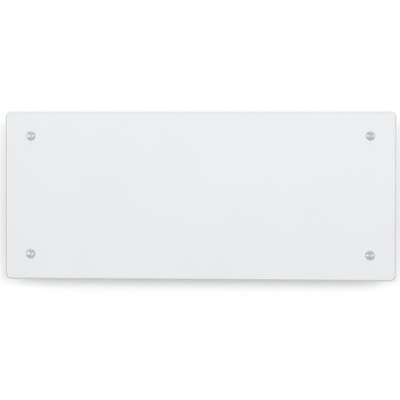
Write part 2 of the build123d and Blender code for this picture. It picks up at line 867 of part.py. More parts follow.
def pod_cover():
    """The face of the controls: a rim on the casing, a skirt through its opening, a window, three holes."""
    place = Pos(pod_middle, -casing_middle)
    skirt_length = pod_length - 2 * pod_lip - 2 * fit_clearance
    skirt_width = pod_width - 2 * pod_lip - 2 * fit_clearance
    cover = layer(place * RectangleRounded(pod_length, pod_width, pod_corner_radius), casing_top,
                  pod_cover_thickness)
    cover = chamfer(cover.edges().group_by(Axis.Z)[-1], pod_cover_edge)
    skirt = Rectangle(skirt_length, skirt_width) - Rectangle(skirt_length - 2 * pod_wall,
                                                             skirt_width - 2 * pod_wall)
    cover += layer(place * skirt, casing_top - pod_skirt_depth, pod_skirt_depth)
    window = Pos(pod_middle + window_offset, -casing_middle)
    lens_floor = casing_top + pod_cover_thickness + lens_proud - lens_thickness
    recess = RectangleRounded(
        window_length + 2 * seat_clearance, window_width + 2 * seat_clearance, window_corner_radius
    )
    through = RectangleRounded(
        window_length - 2 * window_ledge, window_width - 2 * window_ledge, window_ledge_radius
    )
    cover -= layer(window * recess, lens_floor, lens_thickness)
    cover -= layer_cut(window * through, casing_top, pod_cover_thickness)
    hole = RectangleRounded(
        button_length + 2 * fit_clearance,
        button_width + 2 * fit_clearance,
        button_corner_radius + fit_clearance,
    )
    for x in button_places().values():
        cover -= layer_cut(Pos(x, -casing_middle) * hole, casing_top, pod_cover_thickness)
    hooks = snap_hooks(skirt_length, skirt_width, [pod_middle + x for x in spaced(2, skirt_length / 2)])
    return cover + hooks


def display_lens():
    lens = RectangleRounded(window_length, window_width, window_corner_radius - seat_clearance)
    lens_floor = casing_top + pod_cover_thickness + lens_proud - lens_thickness
    piece = layer(Pos(pod_middle + window_offset, -casing_middle) * lens, lens_floor, lens_thickness)
    return chamfer(piece.edges().group_by(Axis.Z)[-1], lens_edge)


def control_button(x):
    """A button with a collar under the cover and a stem that reaches into its push switch."""
    place = Pos(x, -casing_middle)
    collar_top = casing_top - seat_clearance
    collar_low = collar_top - button_collar_thickness
    key_top = casing_top + pod_cover_thickness + button_proud
    key = layer(place * RectangleRounded(button_length, button_width, button_corner_radius), collar_top,
                key_top - collar_top)
    key = fillet(key.edges().group_by(Axis.Z)[-1], button_edge_radius)
    collar = RectangleRounded(button_length + 2 * button_collar, button_width + 2 * button_collar,
                              button_corner_radius)
    stem_low = board_top + push_switch_height - button_travel
    stem = layer(place * Circle(button_stem_diameter / 2), stem_low, collar_low - stem_low)
    return key + layer(place * collar, collar_low, button_collar_thickness) + stem


def push_switches():
    """Small switches on the board, each open at its top for the button's stem."""
    floor = push_switch_height - 2 * button_travel - fit_clearance
    hole = Circle(button_stem_diameter / 2 + fit_clearance)
    pieces = []
    for x in button_places().values():
        place = Pos(x, -casing_middle)
        body = layer(place * Rectangle(push_switch_side, push_switch_side), board_top, push_switch_height)
        pieces.append(body - layer(place * hole, board_top + floor, push_switch_height))
    return group(pieces)


def housing_sizes():
    clearance = 2 * hole_clearance + 2 * fit_clearance
    length = pod_length - 2 * pod_lip - 2 * pod_wall - clearance
    width = pod_width - 2 * pod_lip - 2 * pod_wall - clearance
    return length, width


def pod_housing():
    """An open tray under the cover, with four posts for the board and a hole for the connector."""
    length, width = housing_sizes()
    place = Pos(pod_middle, -casing_middle)
    top = casing_top - seat_clearance
    housing = layer(place * Rectangle(length, width), housing_floor, top - housing_floor)
    inner = Rectangle(length - 2 * pod_housing_wall, width - 2 * pod_housing_wall)
    housing -= layer(place * inner, housing_floor + pod_housing_wall, pod_housing_depth)
    post_height = board_top - board_thickness - housing_floor - pod_housing_wall
    for x in spaced(2, length - 2 * pod_housing_wall - board_post_side):
        for y in spaced(2, width - 2 * pod_housing_wall - board_post_side):
            post = Pos(pod_middle + x, -casing_middle + y) * Rectangle(board_post_side, board_post_side)
            housing += layer(post, housing_floor + pod_housing_wall, post_height)
    socket = Pos(connector_x, -casing_middle) * Rectangle(connector_length, connector_width)
    return housing - layer_cut(socket, housing_floor, pod_housing_wall)


def control_board():
    length, width = housing_sizes()
    inset = 2 * pod_housing_wall + 2 * seat_clearance
    outline = Pos(pod_middle, -casing_middle) * Rectangle(length - inset, width - inset)
    return layer(outline, board_top - board_thickness, board_thickness)


def display_module():
    height = casing_top - board_top
    outline = Pos(pod_middle + window_offset, -casing_middle) * Rectangle(display_module_length,
                                                                          display_module_width)
    return layer(outline, board_top, height)


def power_relay():
    outline = RectangleRounded(relay_length, relay_width, relay_corner_radius)
    place = Pos(pod_middle + window_offset, -casing_middle)
    return layer(place * outline, board_top - board_thickness - relay_height, relay_height)


def lead_connector():
    """The socket on the board's underside. It comes out through the tray's floor, and the leads end in it."""
    top = board_top - board_thickness
    low = housing_floor - connector_height
    outline = Pos(connector_x, -casing_middle) * Rectangle(connector_length - 2 * hole_clearance,
                                                           connector_width - 2 * hole_clearance)
    return layer(outline, low, top - low)


# Mains switch


def switch_frame():
    """A hollow body behind a bezel, with two blind holes for the rocker's pins and three blades behind."""
    place = Pos(casing_middle, switch_z)
    inner = casing_side - switch_body_depth
    outline = Rectangle(switch_width, switch_length)
    body = bar(place * outline, inner + switch_body_depth / 2, switch_body_depth)
    bezel = RectangleRounded(
        switch_width + 2 * switch_bezel, switch_length + 2 * switch_bezel, switch_bezel_corner_radius
    )
    rim = bar(place * bezel, casing_side + switch_bezel_thickness / 2, switch_bezel_thickness)
    rim = chamfer(rim.edges().group_by(Axis.X)[-1], switch_bezel_edge)
    cavity = Rectangle(rocker_width() + 2 * fit_clearance, switch_length - 2 * switch_wall)
    floor = switch_pivot_x - rocker_belly - 2 * fit_clearance
    depth = casing_side + switch_bezel_thickness - floor
    frame = body + rim - bar(place * cavity, floor + (depth + cut_margin) / 2, depth + cut_margin)
    hole = Pos(switch_pivot_x, 0, switch_z) * Rot(90, 0, 0) * Cylinder(
        rocker_pin_radius + pin_clearance, rocker_width() + 2 * rocker_pin_depth
    )
    frame -= Pos(0, -casing_middle, 0) * hole
    for step in spaced(2, switch_blade_pitch):
        blade = Pos(casing_middle, switch_z + step) * Rectangle(switch_blade_width, switch_blade_thickness)
        length = switch_blade_length + switch_blade_root
        frame += bar(blade, inner + switch_blade_root - length / 2, length)
    return frame


def rocker_width():
    """What is left between the frame's two walls, each as thick as a pin's blind hole and its end."""
    return switch_width - 2 * (rocker_pin_depth + switch_pin_wall)


def switch_rocker():
    """A rocker with a shallow V face and a round belly, at rest with its lower half in."""
    rise = rocker_crest + rocker_half_length * math.tan(math.radians(rocker_tilt))
    half = rocker_half_length
    face = Polyline((rocker_heel, -half), (rise, -half), (rocker_crest, 0), (rise, half), (rocker_heel, half))
    belly = ThreePointArc((rocker_heel, half), (-rocker_belly, 0), (rocker_heel, -half))
    profile = make_face(face + belly)
    lying = Plane(origin=(0, 0, 0), x_dir=(1, 0, 0), z_dir=(0, -1, 0)) * profile
    rocker = extrude(lying, rocker_width() / 2, both=True)
    pin_length = rocker_width() + 2 * rocker_pin_depth - 2 * seat_clearance
    pins = Rot(90, 0, 0) * Cylinder(rocker_pin_radius, pin_length)
    place = Pos(switch_pivot_x, -casing_middle, switch_z)
    return place * Rot(0, rocker_tilt, 0) * (rocker + pins)


# Mains connection


def cable_gland():
    """The entry for the mains lead: a hexagon, a clamping dome below, a thread above and a bore through."""
    hexagon = layer(RegularPolygon(gland_hex / 2, 6, major_radius=False), -gland_hex_height, gland_hex_height)
    dome = Pos(0, 0, -gland_hex_height) * Cylinder(gland_dome_diameter / 2, gland_dome_height, align=HIGH)
    dome = fillet(dome.edges().group_by(Axis.Z)[0], gland_dome_edge_radius)
    thread = Cylinder(gland_thread_diameter / 2, gland_thread_length, align=LOW)
    below = gland_hex_height + gland_dome_height
    bore = layer_cut(Circle(gland_bore_diameter / 2), -below, below + gland_thread_length)
    return Pos(gland_x, -casing_middle, casing_bottom) * (hexagon + dome + thread - bore)


def gland_nut():
    hexagon = layer(RegularPolygon(gland_nut_hex / 2, 6, major_radius=False), casing_bottom + sheet,
                    gland_nut_height)
    hole = Circle(gland_thread_diameter / 2 + seat_clearance)
    nut = hexagon - layer_cut(hole, casing_bottom + sheet, gland_nut_height)
    return Pos(gland_x, -casing_middle, 0) * nut


def terminal_block():
    """Three poles side by side on the rear panel, with wire holes through and a screw hole into each."""
    block = slab(Pos(gland_x, terminal_z) * Rectangle(terminal_length, terminal_height), casing_back,
                 terminal_depth)
    block = chamfer(edges_at_depth(block, casing_back + terminal_depth), terminal_edge)
    for step in spaced(3, terminal_pole_pitch):
        wire = Pos(gland_x + step, -casing_back - terminal_depth / 2, terminal_z)
        block -= wire * Cylinder(terminal_wire_hole / 2, terminal_height + 2 * cut_margin)
        for rise in spaced(2, terminal_screw_spread):
            screw = at_depth(casing_back + terminal_depth) * Pos(gland_x + step, terminal_z + rise)
            block -= screw * Cylinder(terminal_screw_hole / 2, terminal_screw_depth, align=HIGH)
    return block


def earth_stud():
    return slab(Pos(earth_x, earth_z) * Circle(earth_stud_diameter / 2), casing_back, earth_stud_length)


def earth_nut():
    hole = Circle(earth_stud_diameter / 2 + seat_clearance)
    washer = slab(Circle(earth_washer_diameter / 2) - hole, casing_back, earth_washer_thickness)
    hexagon = RegularPolygon(earth_nut_hex / 2, 6, major_radius=False) - hole
    nut = slab(hexagon, casing_back + earth_washer_thickness, earth_nut_height)
    return Pos(earth_x, 0, earth_z) * (washer + nut)


# Room sensor


def sensor_grommet():
    lip = layer(Circle(sensor_grommet_diameter / 2), casing_bottom - sensor_grommet_lip, sensor_grommet_lip)
    neck = layer(Circle(sensor_hole_diameter / 2), casing_bottom, sheet)
    top = layer(Circle(sensor_grommet_diameter / 2), casing_bottom + sheet, sensor_grommet_lip)
    hole = Circle(sensor_probe_diameter / 2 + seat_clearance)
    height = sheet + 2 * sensor_grommet_lip
    grommet = lip + neck + top - layer_cut(hole, casing_bottom - sensor_grommet_lip, height)
    return Pos(sensor_x, -casing_middle, 0) * grommet


def room_sensor():
    """A small probe held in its grommet, with a round nose in the air that comes in below."""
    low = casing_bottom - sensor_probe_drop
    probe = layer(Circle(sensor_probe_diameter / 2), low, sensor_probe_drop + sensor_probe_rise)
    probe = fillet(probe.edges().group_by(Axis.Z)[0], sensor_nose_radius)
    return Pos(sensor_x, -casing_middle, 0) * probe


# Internal leads


def lead(points, diameter=lead_diameter):
    path = FilletPolyline(*points, radius=lead_bend_radius)
    return sweep(Plane(origin=path @ 0, z_dir=path % 0) * Circle(diameter / 2), path=path)


def lead_routes():
    """Each lead's corners, from the part it leaves to the part it reaches."""
    gap = fit_clearance
    pole_y = -casing_back - terminal_depth / 2
    pole_z = terminal_z + terminal_height / 2 - lead_seat
    socket_z = housing_floor - connector_height - gap
    middle_y = -casing_middle
    live_x = gland_x + terminal_pole_pitch
    socket = [connector_x + x for x in spaced(4, connector_pitch)]
    blade_x = casing_side - switch_body_depth - switch_blade_length - gap
    low_blade = switch_z - switch_blade_pitch / 2
    high_blade = switch_z + switch_blade_pitch / 2
    rod_right = outlet_middle + rod_length / 2 + gap
    rod_left = outlet_middle - rod_length / 2 - gap
    left_x = rod_left - 2 * lead_bend_radius
    return {
        "live": [(live_x, pole_y, pole_z), (live_x, pole_y, low_blade), (live_x, middle_y, low_blade),
                 (blade_x, middle_y, low_blade)],
        "switched": [(blade_x, middle_y, high_blade), (socket[3], middle_y, high_blade),
                     (socket[3], middle_y, socket_z)],
        "neutral": [(gland_x, pole_y, pole_z), (gland_x, pole_y, socket_z - neutral_turn_drop),
                    (socket[2], middle_y, socket_z - neutral_entry_drop), (socket[2], middle_y, socket_z)],
        "element_right": [(socket[0], middle_y, socket_z), (socket[0], middle_y, element_z),
                          (rod_right, middle_y, element_z)],
        "element_left": [(socket[1], middle_y, socket_z), (socket[1], middle_y, lead_run_rise),
                         (left_x, middle_y, lead_run_rise), (left_x, middle_y, element_z),
                         (rod_left, middle_y, element_z)],
    }


def internal_leads():
    return group(lead(points) for points in lead_routes().values())


# Wall bracket


def flange_profile():
    """The edge of one flange: a straight strip with two hooks, each an arm, a saddle and a lip turned up."""
    profile = Pos(upright_depth / 2, (upright_top + upright_bottom) / 2) * Rectangle(
        upright_depth, upright_top - upright_bottom
    )
    lip_back = casing_back + fit_clearance
    tip = lip_back + hook_lip_thickness
    arm_root = upright_depth / 2
    for rise in hook_rises:
        profile += Pos((arm_root + tip) / 2, rise - hook_arm / 2) * Rectangle(tip - arm_root, hook_arm)
        low = rise - hook_arm / 2
        shoulder = rise + hook_lip - hook_tip_height
        lip = Polyline(
            (lip_back, low), (tip, low), (tip, shoulder), (lip_back + hook_tip_offset, rise + hook_lip),
            (lip_back, shoulder), close=True
        )
        profile += make_face(lip)
    return profile


def wall_bracket():
    """Two channels screwed to the wall, joined by two rails, with hooks on the channels' flanges."""
    channel = Pos(0, -upright_depth / 2) * Rectangle(upright_width, upright_depth)
    channel -= Pos(0, -upright_depth / 2 - bracket_sheet) * Rectangle(upright_width - 2 * bracket_sheet,
                                                                      upright_depth)
    bracket = Part()
    for side in (-1, 1):
        x = side * upright_x
        bracket += layer(Pos(x, 0) * channel, upright_bottom, upright_top - upright_bottom)
        for edge in (-1, 1):
            flange_x = x + edge * (upright_width - bracket_sheet) / 2
            bracket += bar(flange_profile(), flange_x, bracket_sheet)
        neck_low = upright_top - bracket_sheet
        head = Pos(x, (neck_low + lever_z) / 2) * Rectangle(2 * lever_seat_radius, lever_z - neck_low)
        head += Pos(x, lever_z) * Circle(lever_seat_radius)
        bracket += slab(head, 0, bracket_sheet)
        boss = at_depth(bracket_sheet) * Pos(x, lever_z)
        bracket += boss * Cone(lever_boss_radius, lever_boss_top_radius, lever_boss_height, align=LOW)
    rail = Pos(rail_depth / 2, 0) * Rectangle(rail_depth, rail_height)
    rail -= Pos(rail_depth / 2 + bracket_sheet, 0) * Rectangle(rail_depth, rail_height - 2 * bracket_sheet)
    rail_length = upright_spacing - upright_width + bracket_sheet
    for rise in (rail_rise, -rail_rise):
        bracket += bar(Pos(0, rise) * rail, 0, rail_length)
    for side in (-1, 1):
        x = side * upright_x
        rivet_hole = Circle(lever_rivet_diameter / 2 + seat_clearance)
        bracket -= slab_cut(Pos(x, lever_z) * rivet_hole, 0, bracket_sheet + lever_boss_height)
        for z in spaced(2, wall_screw_spread):
            bracket -= slab_cut(Pos(x, z) * Circle(wall_screw_hole / 2), 0, bracket_sheet)
    return bracket


# Lock levers


def lock_lever(side):
    """A flat lever: a hub, a nose over the rear panel's tongue and a handle that stands up at the top."""
    outline = Sketch() + Circle(lever_hub_radius)
    nose_length = lever_nose_reach - lever_nose_width / 2
    outline += Pos(-side * nose_length / 2, 0) * Rectangle(nose_length, lever_nose_width)
    outline += Pos(-side * nose_length, 0) * Circle(lever_nose_width / 2)
    handle_length = lever_handle_reach - lever_handle_width / 2
    outline += Pos(0, handle_length / 2) * Rectangle(lever_handle_width, handle_length)
    outline += Pos(0, handle_length) * Circle(lever_handle_width / 2)
    lever = slab(outline, 0, lever_thickness)
    for step in spaced(lever_ridge_count, lever_ridge_pitch):
        ridge = Pos(0, handle_length - lever_ridge_inset + step) * Rectangle(lever_ridge_width,
                                                                             lever_ridge_thickness)
        lever += slab(ridge, lever_thickness / 2, lever_thickness / 2 + lever_ridge_height)
    lever -= slab_cut(Circle(lever_rivet_diameter / 2 + pin_clearance), 0, lever_thickness)
    return Pos(side * upright_x, -lever_back, lever_z) * lever


def lever_rivets():
    tail = bracket_sheet + lever_boss_height + lever_thickness + 2 * lever_play
    shank = Cylinder(lever_rivet_diameter / 2, tail - fit_clearance, align=LOW)
    head = Pos(0, 0, tail - fit_clearance) * Cylinder(lever_rivet_head_diameter / 2, lever_rivet_head_height,
                                                      align=LOW)
    head = fillet(head.edges().group_by(Axis.Z)[-1], lever_rivet_head_edge)
    rivet = at_depth(fit_clearance) * (shank + head)
    return group(Pos(side * upright_x, 0, lever_z) * rivet for side in (-1, 1))


pieces = {
    "glass_panel": glass_panel(),
    "cap_washers": cap_washers(),
    "glass_bushes": glass_bushes(),
    "glass_gaskets": glass_gaskets(),
    "standoff_screws": standoff_screws(),
    "front_casing": front_casing(),
    "rear_panel": rear_panel(),
    "rear_panel_screws": rear_panel_screws(),
    "outlet_grille": outlet_grille(),
    "heating_element": heating_element(),
    "heating_rod": heating_rod(),
    "element_insulator_left": element_insulator(-1),
    "element_insulator_right": element_insulator(1),
    "element_bracket_left": element_bracket(-1),
    "element_bracket_right": element_bracket(1),
    "element_rivets": element_rivets(),
    "heat_shield": heat_shield(),
    "lead_grommets": lead_grommets(),
    "thermal_cutout": thermal_cutout(),
    "cutout_flange": cutout_flange(),
    "pod_cover": pod_cover(),
    "pod_housing": pod_housing(),
    "display_lens": display_lens(),
    "display_module": display_module(),
    "push_switches": push_switches(),
    "control_board": control_board(),
    "power_relay": power_relay(),
    "lead_connector": lead_connector(),
    "switch_frame": switch_frame(),
    "switch_rocker": switch_rocker(),
    "cable_gland": cable_gland(),
    "gland_nut": gland_nut(),
    "terminal_block": terminal_block(),
    "earth_stud": earth_stud(),
    "earth_nut": earth_nut(),
    "sensor_grommet": sensor_grommet(),
    "room_sensor": room_sensor(),
    "internal_leads": internal_leads(),
    "wall_bracket": wall_bracket(),
    "lock_lever_left": lock_lever(-1),
    "lock_lever_right": lock_lever(1),
    "lever_rivets": lever_rivets(),
}
for name, (x, z) in FIXINGS.items():
    pieces[f"fixing_cap_{name}"] = fixing_cap(x, z)
    pieces[f"standoff_{name}"] = standoff(x, z)
for name, (x, z) in zip(("left", "right"), buffer_places()):
    pieces[f"wall_buffer_{name}"] = wall_buffer(x, z)
for name, x in button_places().items():
    pieces[f"button_{name}"] = control_button(x)

os.makedirs("parts", exist_ok=True)
for name, piece in pieces.items():
    export_step(piece, f"parts/{name}.step")
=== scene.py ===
import json
import math

import bmesh
import bpy
from mathutils import Euler, Matrix, Vector
from mathutils.bvhtree import BVHTree


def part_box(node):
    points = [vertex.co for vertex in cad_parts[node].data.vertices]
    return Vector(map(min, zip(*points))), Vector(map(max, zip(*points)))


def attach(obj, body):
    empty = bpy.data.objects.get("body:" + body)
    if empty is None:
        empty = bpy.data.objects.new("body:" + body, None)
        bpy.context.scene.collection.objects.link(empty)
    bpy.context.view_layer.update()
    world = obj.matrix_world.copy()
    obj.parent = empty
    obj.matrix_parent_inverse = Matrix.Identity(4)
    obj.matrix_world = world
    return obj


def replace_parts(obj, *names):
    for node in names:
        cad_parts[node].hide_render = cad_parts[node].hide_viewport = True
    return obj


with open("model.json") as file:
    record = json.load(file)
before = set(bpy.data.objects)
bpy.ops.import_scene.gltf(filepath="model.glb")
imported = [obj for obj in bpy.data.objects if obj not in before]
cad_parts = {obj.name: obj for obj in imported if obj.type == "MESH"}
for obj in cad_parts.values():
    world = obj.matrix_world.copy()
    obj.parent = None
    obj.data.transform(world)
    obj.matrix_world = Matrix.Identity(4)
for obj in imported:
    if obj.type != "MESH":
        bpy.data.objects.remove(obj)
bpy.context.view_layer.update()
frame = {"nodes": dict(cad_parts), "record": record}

# A wall-hung panel heater: a white glass front on four polished caps, a folded steel casing behind it and a
# wall bracket. Lengths are in metres. X runs to the right as seen from the room, Y into the wall and Z up.

mm = 0.001


# Node trees


class Tree:
    """Builds one node tree. An input is named by its label, or by its number, as in _0. What is handed in
    for it sets its value, or is linked to it where it's a node or a socket."""

    def __init__(self, tree):
        self.tree = tree

    def add(self, kind, settings=None, **inputs):
        node = self.tree.nodes.new(kind)
        for name, value in (settings or {}).items():
            setattr(node, name, value)
        self.fill(node, **inputs)
        return node

    def fill(self, node, **inputs):
        for name, value in inputs.items():
            socket = node.inputs[int(name[1:]) if name[0] == "_" else name.replace("_", " ")]
            if isinstance(value, bpy.types.Node):
                value = value.outputs[0]
            if isinstance(value, bpy.types.NodeSocket):
                self.tree.links.new(value, socket)
            else:
                socket.default_value = value

    def math(self, operation, *values):
        inputs = {f"_{i}": value for i, value in enumerate(values)}
        return self.add("ShaderNodeMath", {"operation": operation}, **inputs)

    def eased(self, value, start, end, low, high):
        """The value moved from one range to another, with soft ends."""
        return self.add("ShaderNodeMapRange", {"interpolation_type": "SMOOTHSTEP"}, Value=value,
                        From_Min=start, From_Max=end, To_Min=low, To_Max=high)


def emptied_tree(owner):
    """The node tree of a material or a world, with nothing in it yet."""
    owner.use_nodes = True
    owner.node_tree.nodes.clear()
    return Tree(owner.node_tree)


class Finish(Tree):
    """A material: plain values first, then patterns that vary its colour, its gloss and its relief."""

    def __init__(self, name, colour, roughness, **settings):
        self.material = bpy.data.materials.new(name)
        self.material.use_nodes = True
        super().__init__(self.material.node_tree)
        self.shader = self.tree.nodes["Principled BSDF"]
        self.colour = colour
        self.lifted = {}
        self.show(Base_Color=(*colour, 1.0), Roughness=roughness, **settings)

    def show(self, **inputs):
        self.fill(self.shader, **inputs)

    def scaled_place(self, scale, seed=0.0):
        place = self.add("ShaderNodeTexCoord").outputs["Object"]
        return self.add("ShaderNodeMapping", Vector=place, Location=(seed, seed, seed), Scale=scale)

    def grain(self, size, detail=2.0, stretch=(1.0, 1.0, 1.0), seed=0.0):
        """Noise whose spots are about this size, in metres, and may be stretched along the heater's axes."""
        place = self.scaled_place(tuple(1 / (size * s) for s in stretch), seed)
        return self.add("ShaderNodeTexNoise", Vector=place, Scale=1.0, Detail=detail).outputs["Fac"]

    def crystals(self, size):
        """Cells about this size, each with a colour of its own."""
        place = self.scaled_place((1 / size,) * 3)
        return self.add("ShaderNodeTexVoronoi", {"feature": "F1"}, Vector=place, Scale=1.0)

    def attribute(self, name):
        """What the mesh says of itself under this name."""
        return self.add("ShaderNodeAttribute", {"attribute_name": name}).outputs["Fac"]

    def between(self, pattern, low, high, start=0.3, end=0.7):
        """A number that runs from low to high as the pattern does from start to end."""
        return self.add("ShaderNodeMapRange", Value=pattern, From_Min=start, From_Max=end, To_Min=low,
                        To_Max=high)

    def shades(self, pattern, dark, light, start=0.35, end=0.65):
        """The finish's colour, from this much darker to this much lighter as the pattern runs."""
        ramp = self.add("ShaderNodeValToRGB", Fac=pattern)
        for element, place, factor in zip(ramp.color_ramp.elements, (start, end), (dark, light)):
            element.position = place
            element.color = (*(min(1.0, part * factor) for part in self.colour), 1.0)
        return ramp

    def mixed(self, amount, first, second, way="MIX"):
        """Two patterns of colour, mixed or multiplied."""
        settings = {"data_type": "RGBA", "blend_type": way}
        return self.add("ShaderNodeMix", settings, _0=amount, _6=first, _7=second).outputs[2]

    def tone(self, pattern, dark, light, *span):
        self.show(Base_Color=self.shades(pattern, dark, light, *span))

    def gloss(self, pattern, smoothest, roughest, *span):
        self.show(Roughness=self.between(pattern, smoothest, roughest, *span))

    def relief(self, pattern, height):
        """Lifts the surface by the pattern, on top of what an earlier call has lifted."""
        bump = self.add("ShaderNodeBump", Height=pattern, Distance=height, Strength=1.0, **self.lifted)
        self.lifted = {"Normal": bump}
        self.show(Normal=bump)


# Camera, stage and light


def new_object(name, data):
    """A new object in the scene, which shows this mesh, camera or light."""
    made = bpy.data.objects.new(name, data)
    bpy.context.scene.collection.objects.link(made)
    return made


def make_camera():
    """A long lens a little to the right of the heater's middle, which looks slightly back to the left."""
    data = bpy.data.cameras.new("photo_camera")
    data.lens = 143.85
    data.sensor_width = 36.0
    data.clip_end = 60.0
    camera = new_object("photo_camera", data)
    yaw, pitch, roll = (math.radians(angle) for angle in (4.17, -0.72, 0.13))
    turn = Euler((math.pi / 2 + pitch, 0, yaw)).to_matrix() @ Euler((0, 0, roll)).to_matrix()
    camera.matrix_world = Matrix.Translation((0.2348, -3.285, 0.031)) @ turn.to_4x4()
    bpy.context.scene.camera = camera


# Soft lights round the heater: where each one is seen (turned to the right from the camera's side, and
# raised), its half width, its soft edge, and how much brighter than the room it is. Angles are in degrees.
soft_lights = (
    ("front_left", -30, 3, 6, 17, 1.7),
    ("front_right", 35, 3, 6, 17, 1.7),
    ("overhead", 20, 82, 16, 40, 0.8),
    ("floor_bounce", 0, -82, 20, 60, 0.35),
    ("back_left", -128, 22, 14, 40, 0.75),
    ("back_right", 140, 26, 16, 40, 0.9),
)
room_level = 0.55
room_low = 0.36
room_high = 0.46


def direction(turned, raised):
    """Unit vector towards a light that is turned to the right of the camera's side and raised."""
    a, e = math.radians(turned), math.radians(raised)
    return Vector((math.sin(a) * math.cos(e), -math.cos(a) * math.cos(e), math.sin(e)))


def make_room_light():
    """A pale room with soft lights in it. What the camera sees behind the heater is plain white."""
    world = bpy.data.worlds.new("studio")
    tree = emptied_tree(world)
    towards = tree.add("ShaderNodeTexCoord").outputs["Generated"]
    height = tree.add("ShaderNodeSeparateXYZ", Vector=towards).outputs["Z"]
    low = tree.eased(height, -0.6, -0.02, room_low, room_level)
    high = tree.eased(height, 0.05, 0.6, 0.0, room_high - room_level)
    light = tree.math("ADD", low, high)
    for name, turned, raised, core, edge, strength in soft_lights:
        facing = tree.add("ShaderNodeVectorMath", {"operation": "DOT_PRODUCT", "label": name}, _0=towards,
                          _1=direction(turned, raised))
        outside, inside = math.cos(math.radians(edge)), math.cos(math.radians(core))
        light = tree.math("ADD", light, tree.eased(facing.outputs["Value"], outside, inside, 0.0, strength))
    room = tree.add("ShaderNodeBackground", Color=(0.985, 0.995, 1.0, 1.0), Strength=light)
    ground = tree.add("ShaderNodeBackground", Color=(1.0, 1.0, 1.0, 1.0), Strength=1.0)
    seen = tree.add("ShaderNodeLightPath").outputs["Is Camera Ray"]
    mixed = tree.add("ShaderNodeMixShader", Fac=seen, _1=room, _2=ground)
    tree.add("ShaderNodeOutputWorld", Surface=mixed)
    bpy.context.scene.world = world


def make_lamp(name, kind, strength, aim, place=(0.0, 0.0, 0.0), **settings):
    """A soft lamp. It lights the heater or throws its shadow on the wall, and gives no mirror image."""
    data = bpy.data.lights.new(name, kind)
    data.energy = strength
    for setting, value in settings.items():
        setattr(data, setting, value)
    lamp = new_object(name, data)
    lamp.location = place
    lamp.rotation_mode = "QUATERNION"
    lamp.rotation_quaternion = aim.to_track_quat("-Z", "Y")
    lamp.visible_glossy = False


def make_lamps():
    """Three far, soft lamps, and a panel high in front that leaves the top of the glass a little lighter."""
    for name, turned, raised, width, strength in (
        ("left_lamp", -10, 10, 16, 0.40), ("right_lamp", 18, 10, 16, 0.58), ("back_lamp", 150, 38, 20, 0.9),
    ):
        make_lamp(name, "SUN", strength, -direction(turned, raised), angle=math.radians(width))
    place = Vector((0.25, -1.5, 1.7))
    make_lamp("fill_panel", "AREA", 13.0, -place, place, size=1.2, use_shadow=False)


def stage_plane(name, corners, material, seen_by_light):
    mesh = bpy.data.meshes.new(name)
    mesh.from_pydata(corners, [], [tuple(range(len(corners)))])
    mesh.materials.append(material)
    plane = new_object(name, mesh)
    plane.visible_diffuse = seen_by_light
    plane.visible_shadow = seen_by_light
    plane.visible_glossy = False
    plane.visible_transmission = False


def wall_paint():
    """White paint that is clear from behind, where the camera looks at the heater's back."""
    wall = bpy.data.materials.new("stage_wall")
    tree = emptied_tree(wall)
    paint = tree.add("ShaderNodeBsdfDiffuse", Color=(0.975, 0.975, 0.975, 1.0))
    glow = tree.add("ShaderNodeEmission", Color=(1.0, 1.0, 1.0, 1.0), Strength=0.04)
    front = tree.add("ShaderNodeAddShader", _0=paint, _1=glow)
    clear = tree.add("ShaderNodeBsdfTransparent")
    behind = tree.add("ShaderNodeNewGeometry").outputs["Backfacing"]
    looked_at = tree.add("ShaderNodeMixShader", Fac=behind, _1=front, _2=clear)
    # Light reaches the heater's back through the wall, but light that has bounced finds the wall dim
    depth = tree.add("ShaderNodeLightPath").outputs["Ray Depth"]
    later = tree.math("GREATER_THAN", depth, 1.5)
    first = tree.math("COMPARE", depth, 1.0, 0.5)
    dim = tree.add("ShaderNodeBsdfDiffuse", Color=(0.15, 0.15, 0.15, 1.0))
    lit = tree.add("ShaderNodeMixShader", Fac=later, _1=looked_at, _2=dim)
    mixed = tree.add("ShaderNodeMixShader", Fac=first, _1=lit, _2=clear)
    tree.add("ShaderNodeOutputMaterial", Surface=mixed)
    return wall


def make_stage():
    """A pale floor, and a white wall behind the heater that catches its shadow."""
    side, low, high, far = 6.0, -0.62, 4.0, 40.0
    wall = [(-side, 0, low), (side, 0, low), (side, 0, high), (-side, 0, high)]
    floor = [(-far, -far, low), (far, -far, low), (far, far, low), (-far, far, low)]
    stage_plane("stage_wall", wall, wall_paint(), True)
    stage_plane("stage_floor", floor, Finish("stage_floor", (0.90, 0.90, 0.895), 0.9).material, False)


def make_colours_plain():
    settings = bpy.context.scene.view_settings
    settings.view_transform = "Standard"
    settings.look = "None"


make_camera()
make_colours_plain()
make_room_light()
make_lamps()
make_stage()


# Finishes: one function for each kind, one call for each material of the heater


def powder_coat(name, colour, peel=1.6 * mm):
    """Fine powder paint: low rounded orange peel, a finer grain on it, and slightly uneven gloss."""
    coat = Finish(name, colour, 0.42, Specular_IOR_Level=0.5)
    coat.tone(coat.grain(60 * mm, 3.0), 0.985, 1.01)
    coat.relief(coat.grain(peel, 1.0), 0.05 * mm)
    coat.relief(coat.grain(0.35 * mm, 1.0, seed=3.0), 0.008 * mm)
    coat.gloss(coat.grain(9 * mm, seed=7.0), 0.38, 0.46)
    return coat.material


def moulded_plastic(name, colour, roughness, texture=0.5 * mm, depth=0.02 * mm, **settings):
    """Spark-eroded mould texture, and a flow of slightly shinier skin."""
    skin = Finish(name, colour, roughness, **settings)
    skin.tone(skin.grain(24 * mm, 3.0), 0.97, 1.02)
    skin.relief(skin.grain(texture), depth)
    skin.gloss(skin.grain(7 * mm, seed=5.0), roughness * 0.92, min(1.0, roughness * 1.1))
    return skin.material


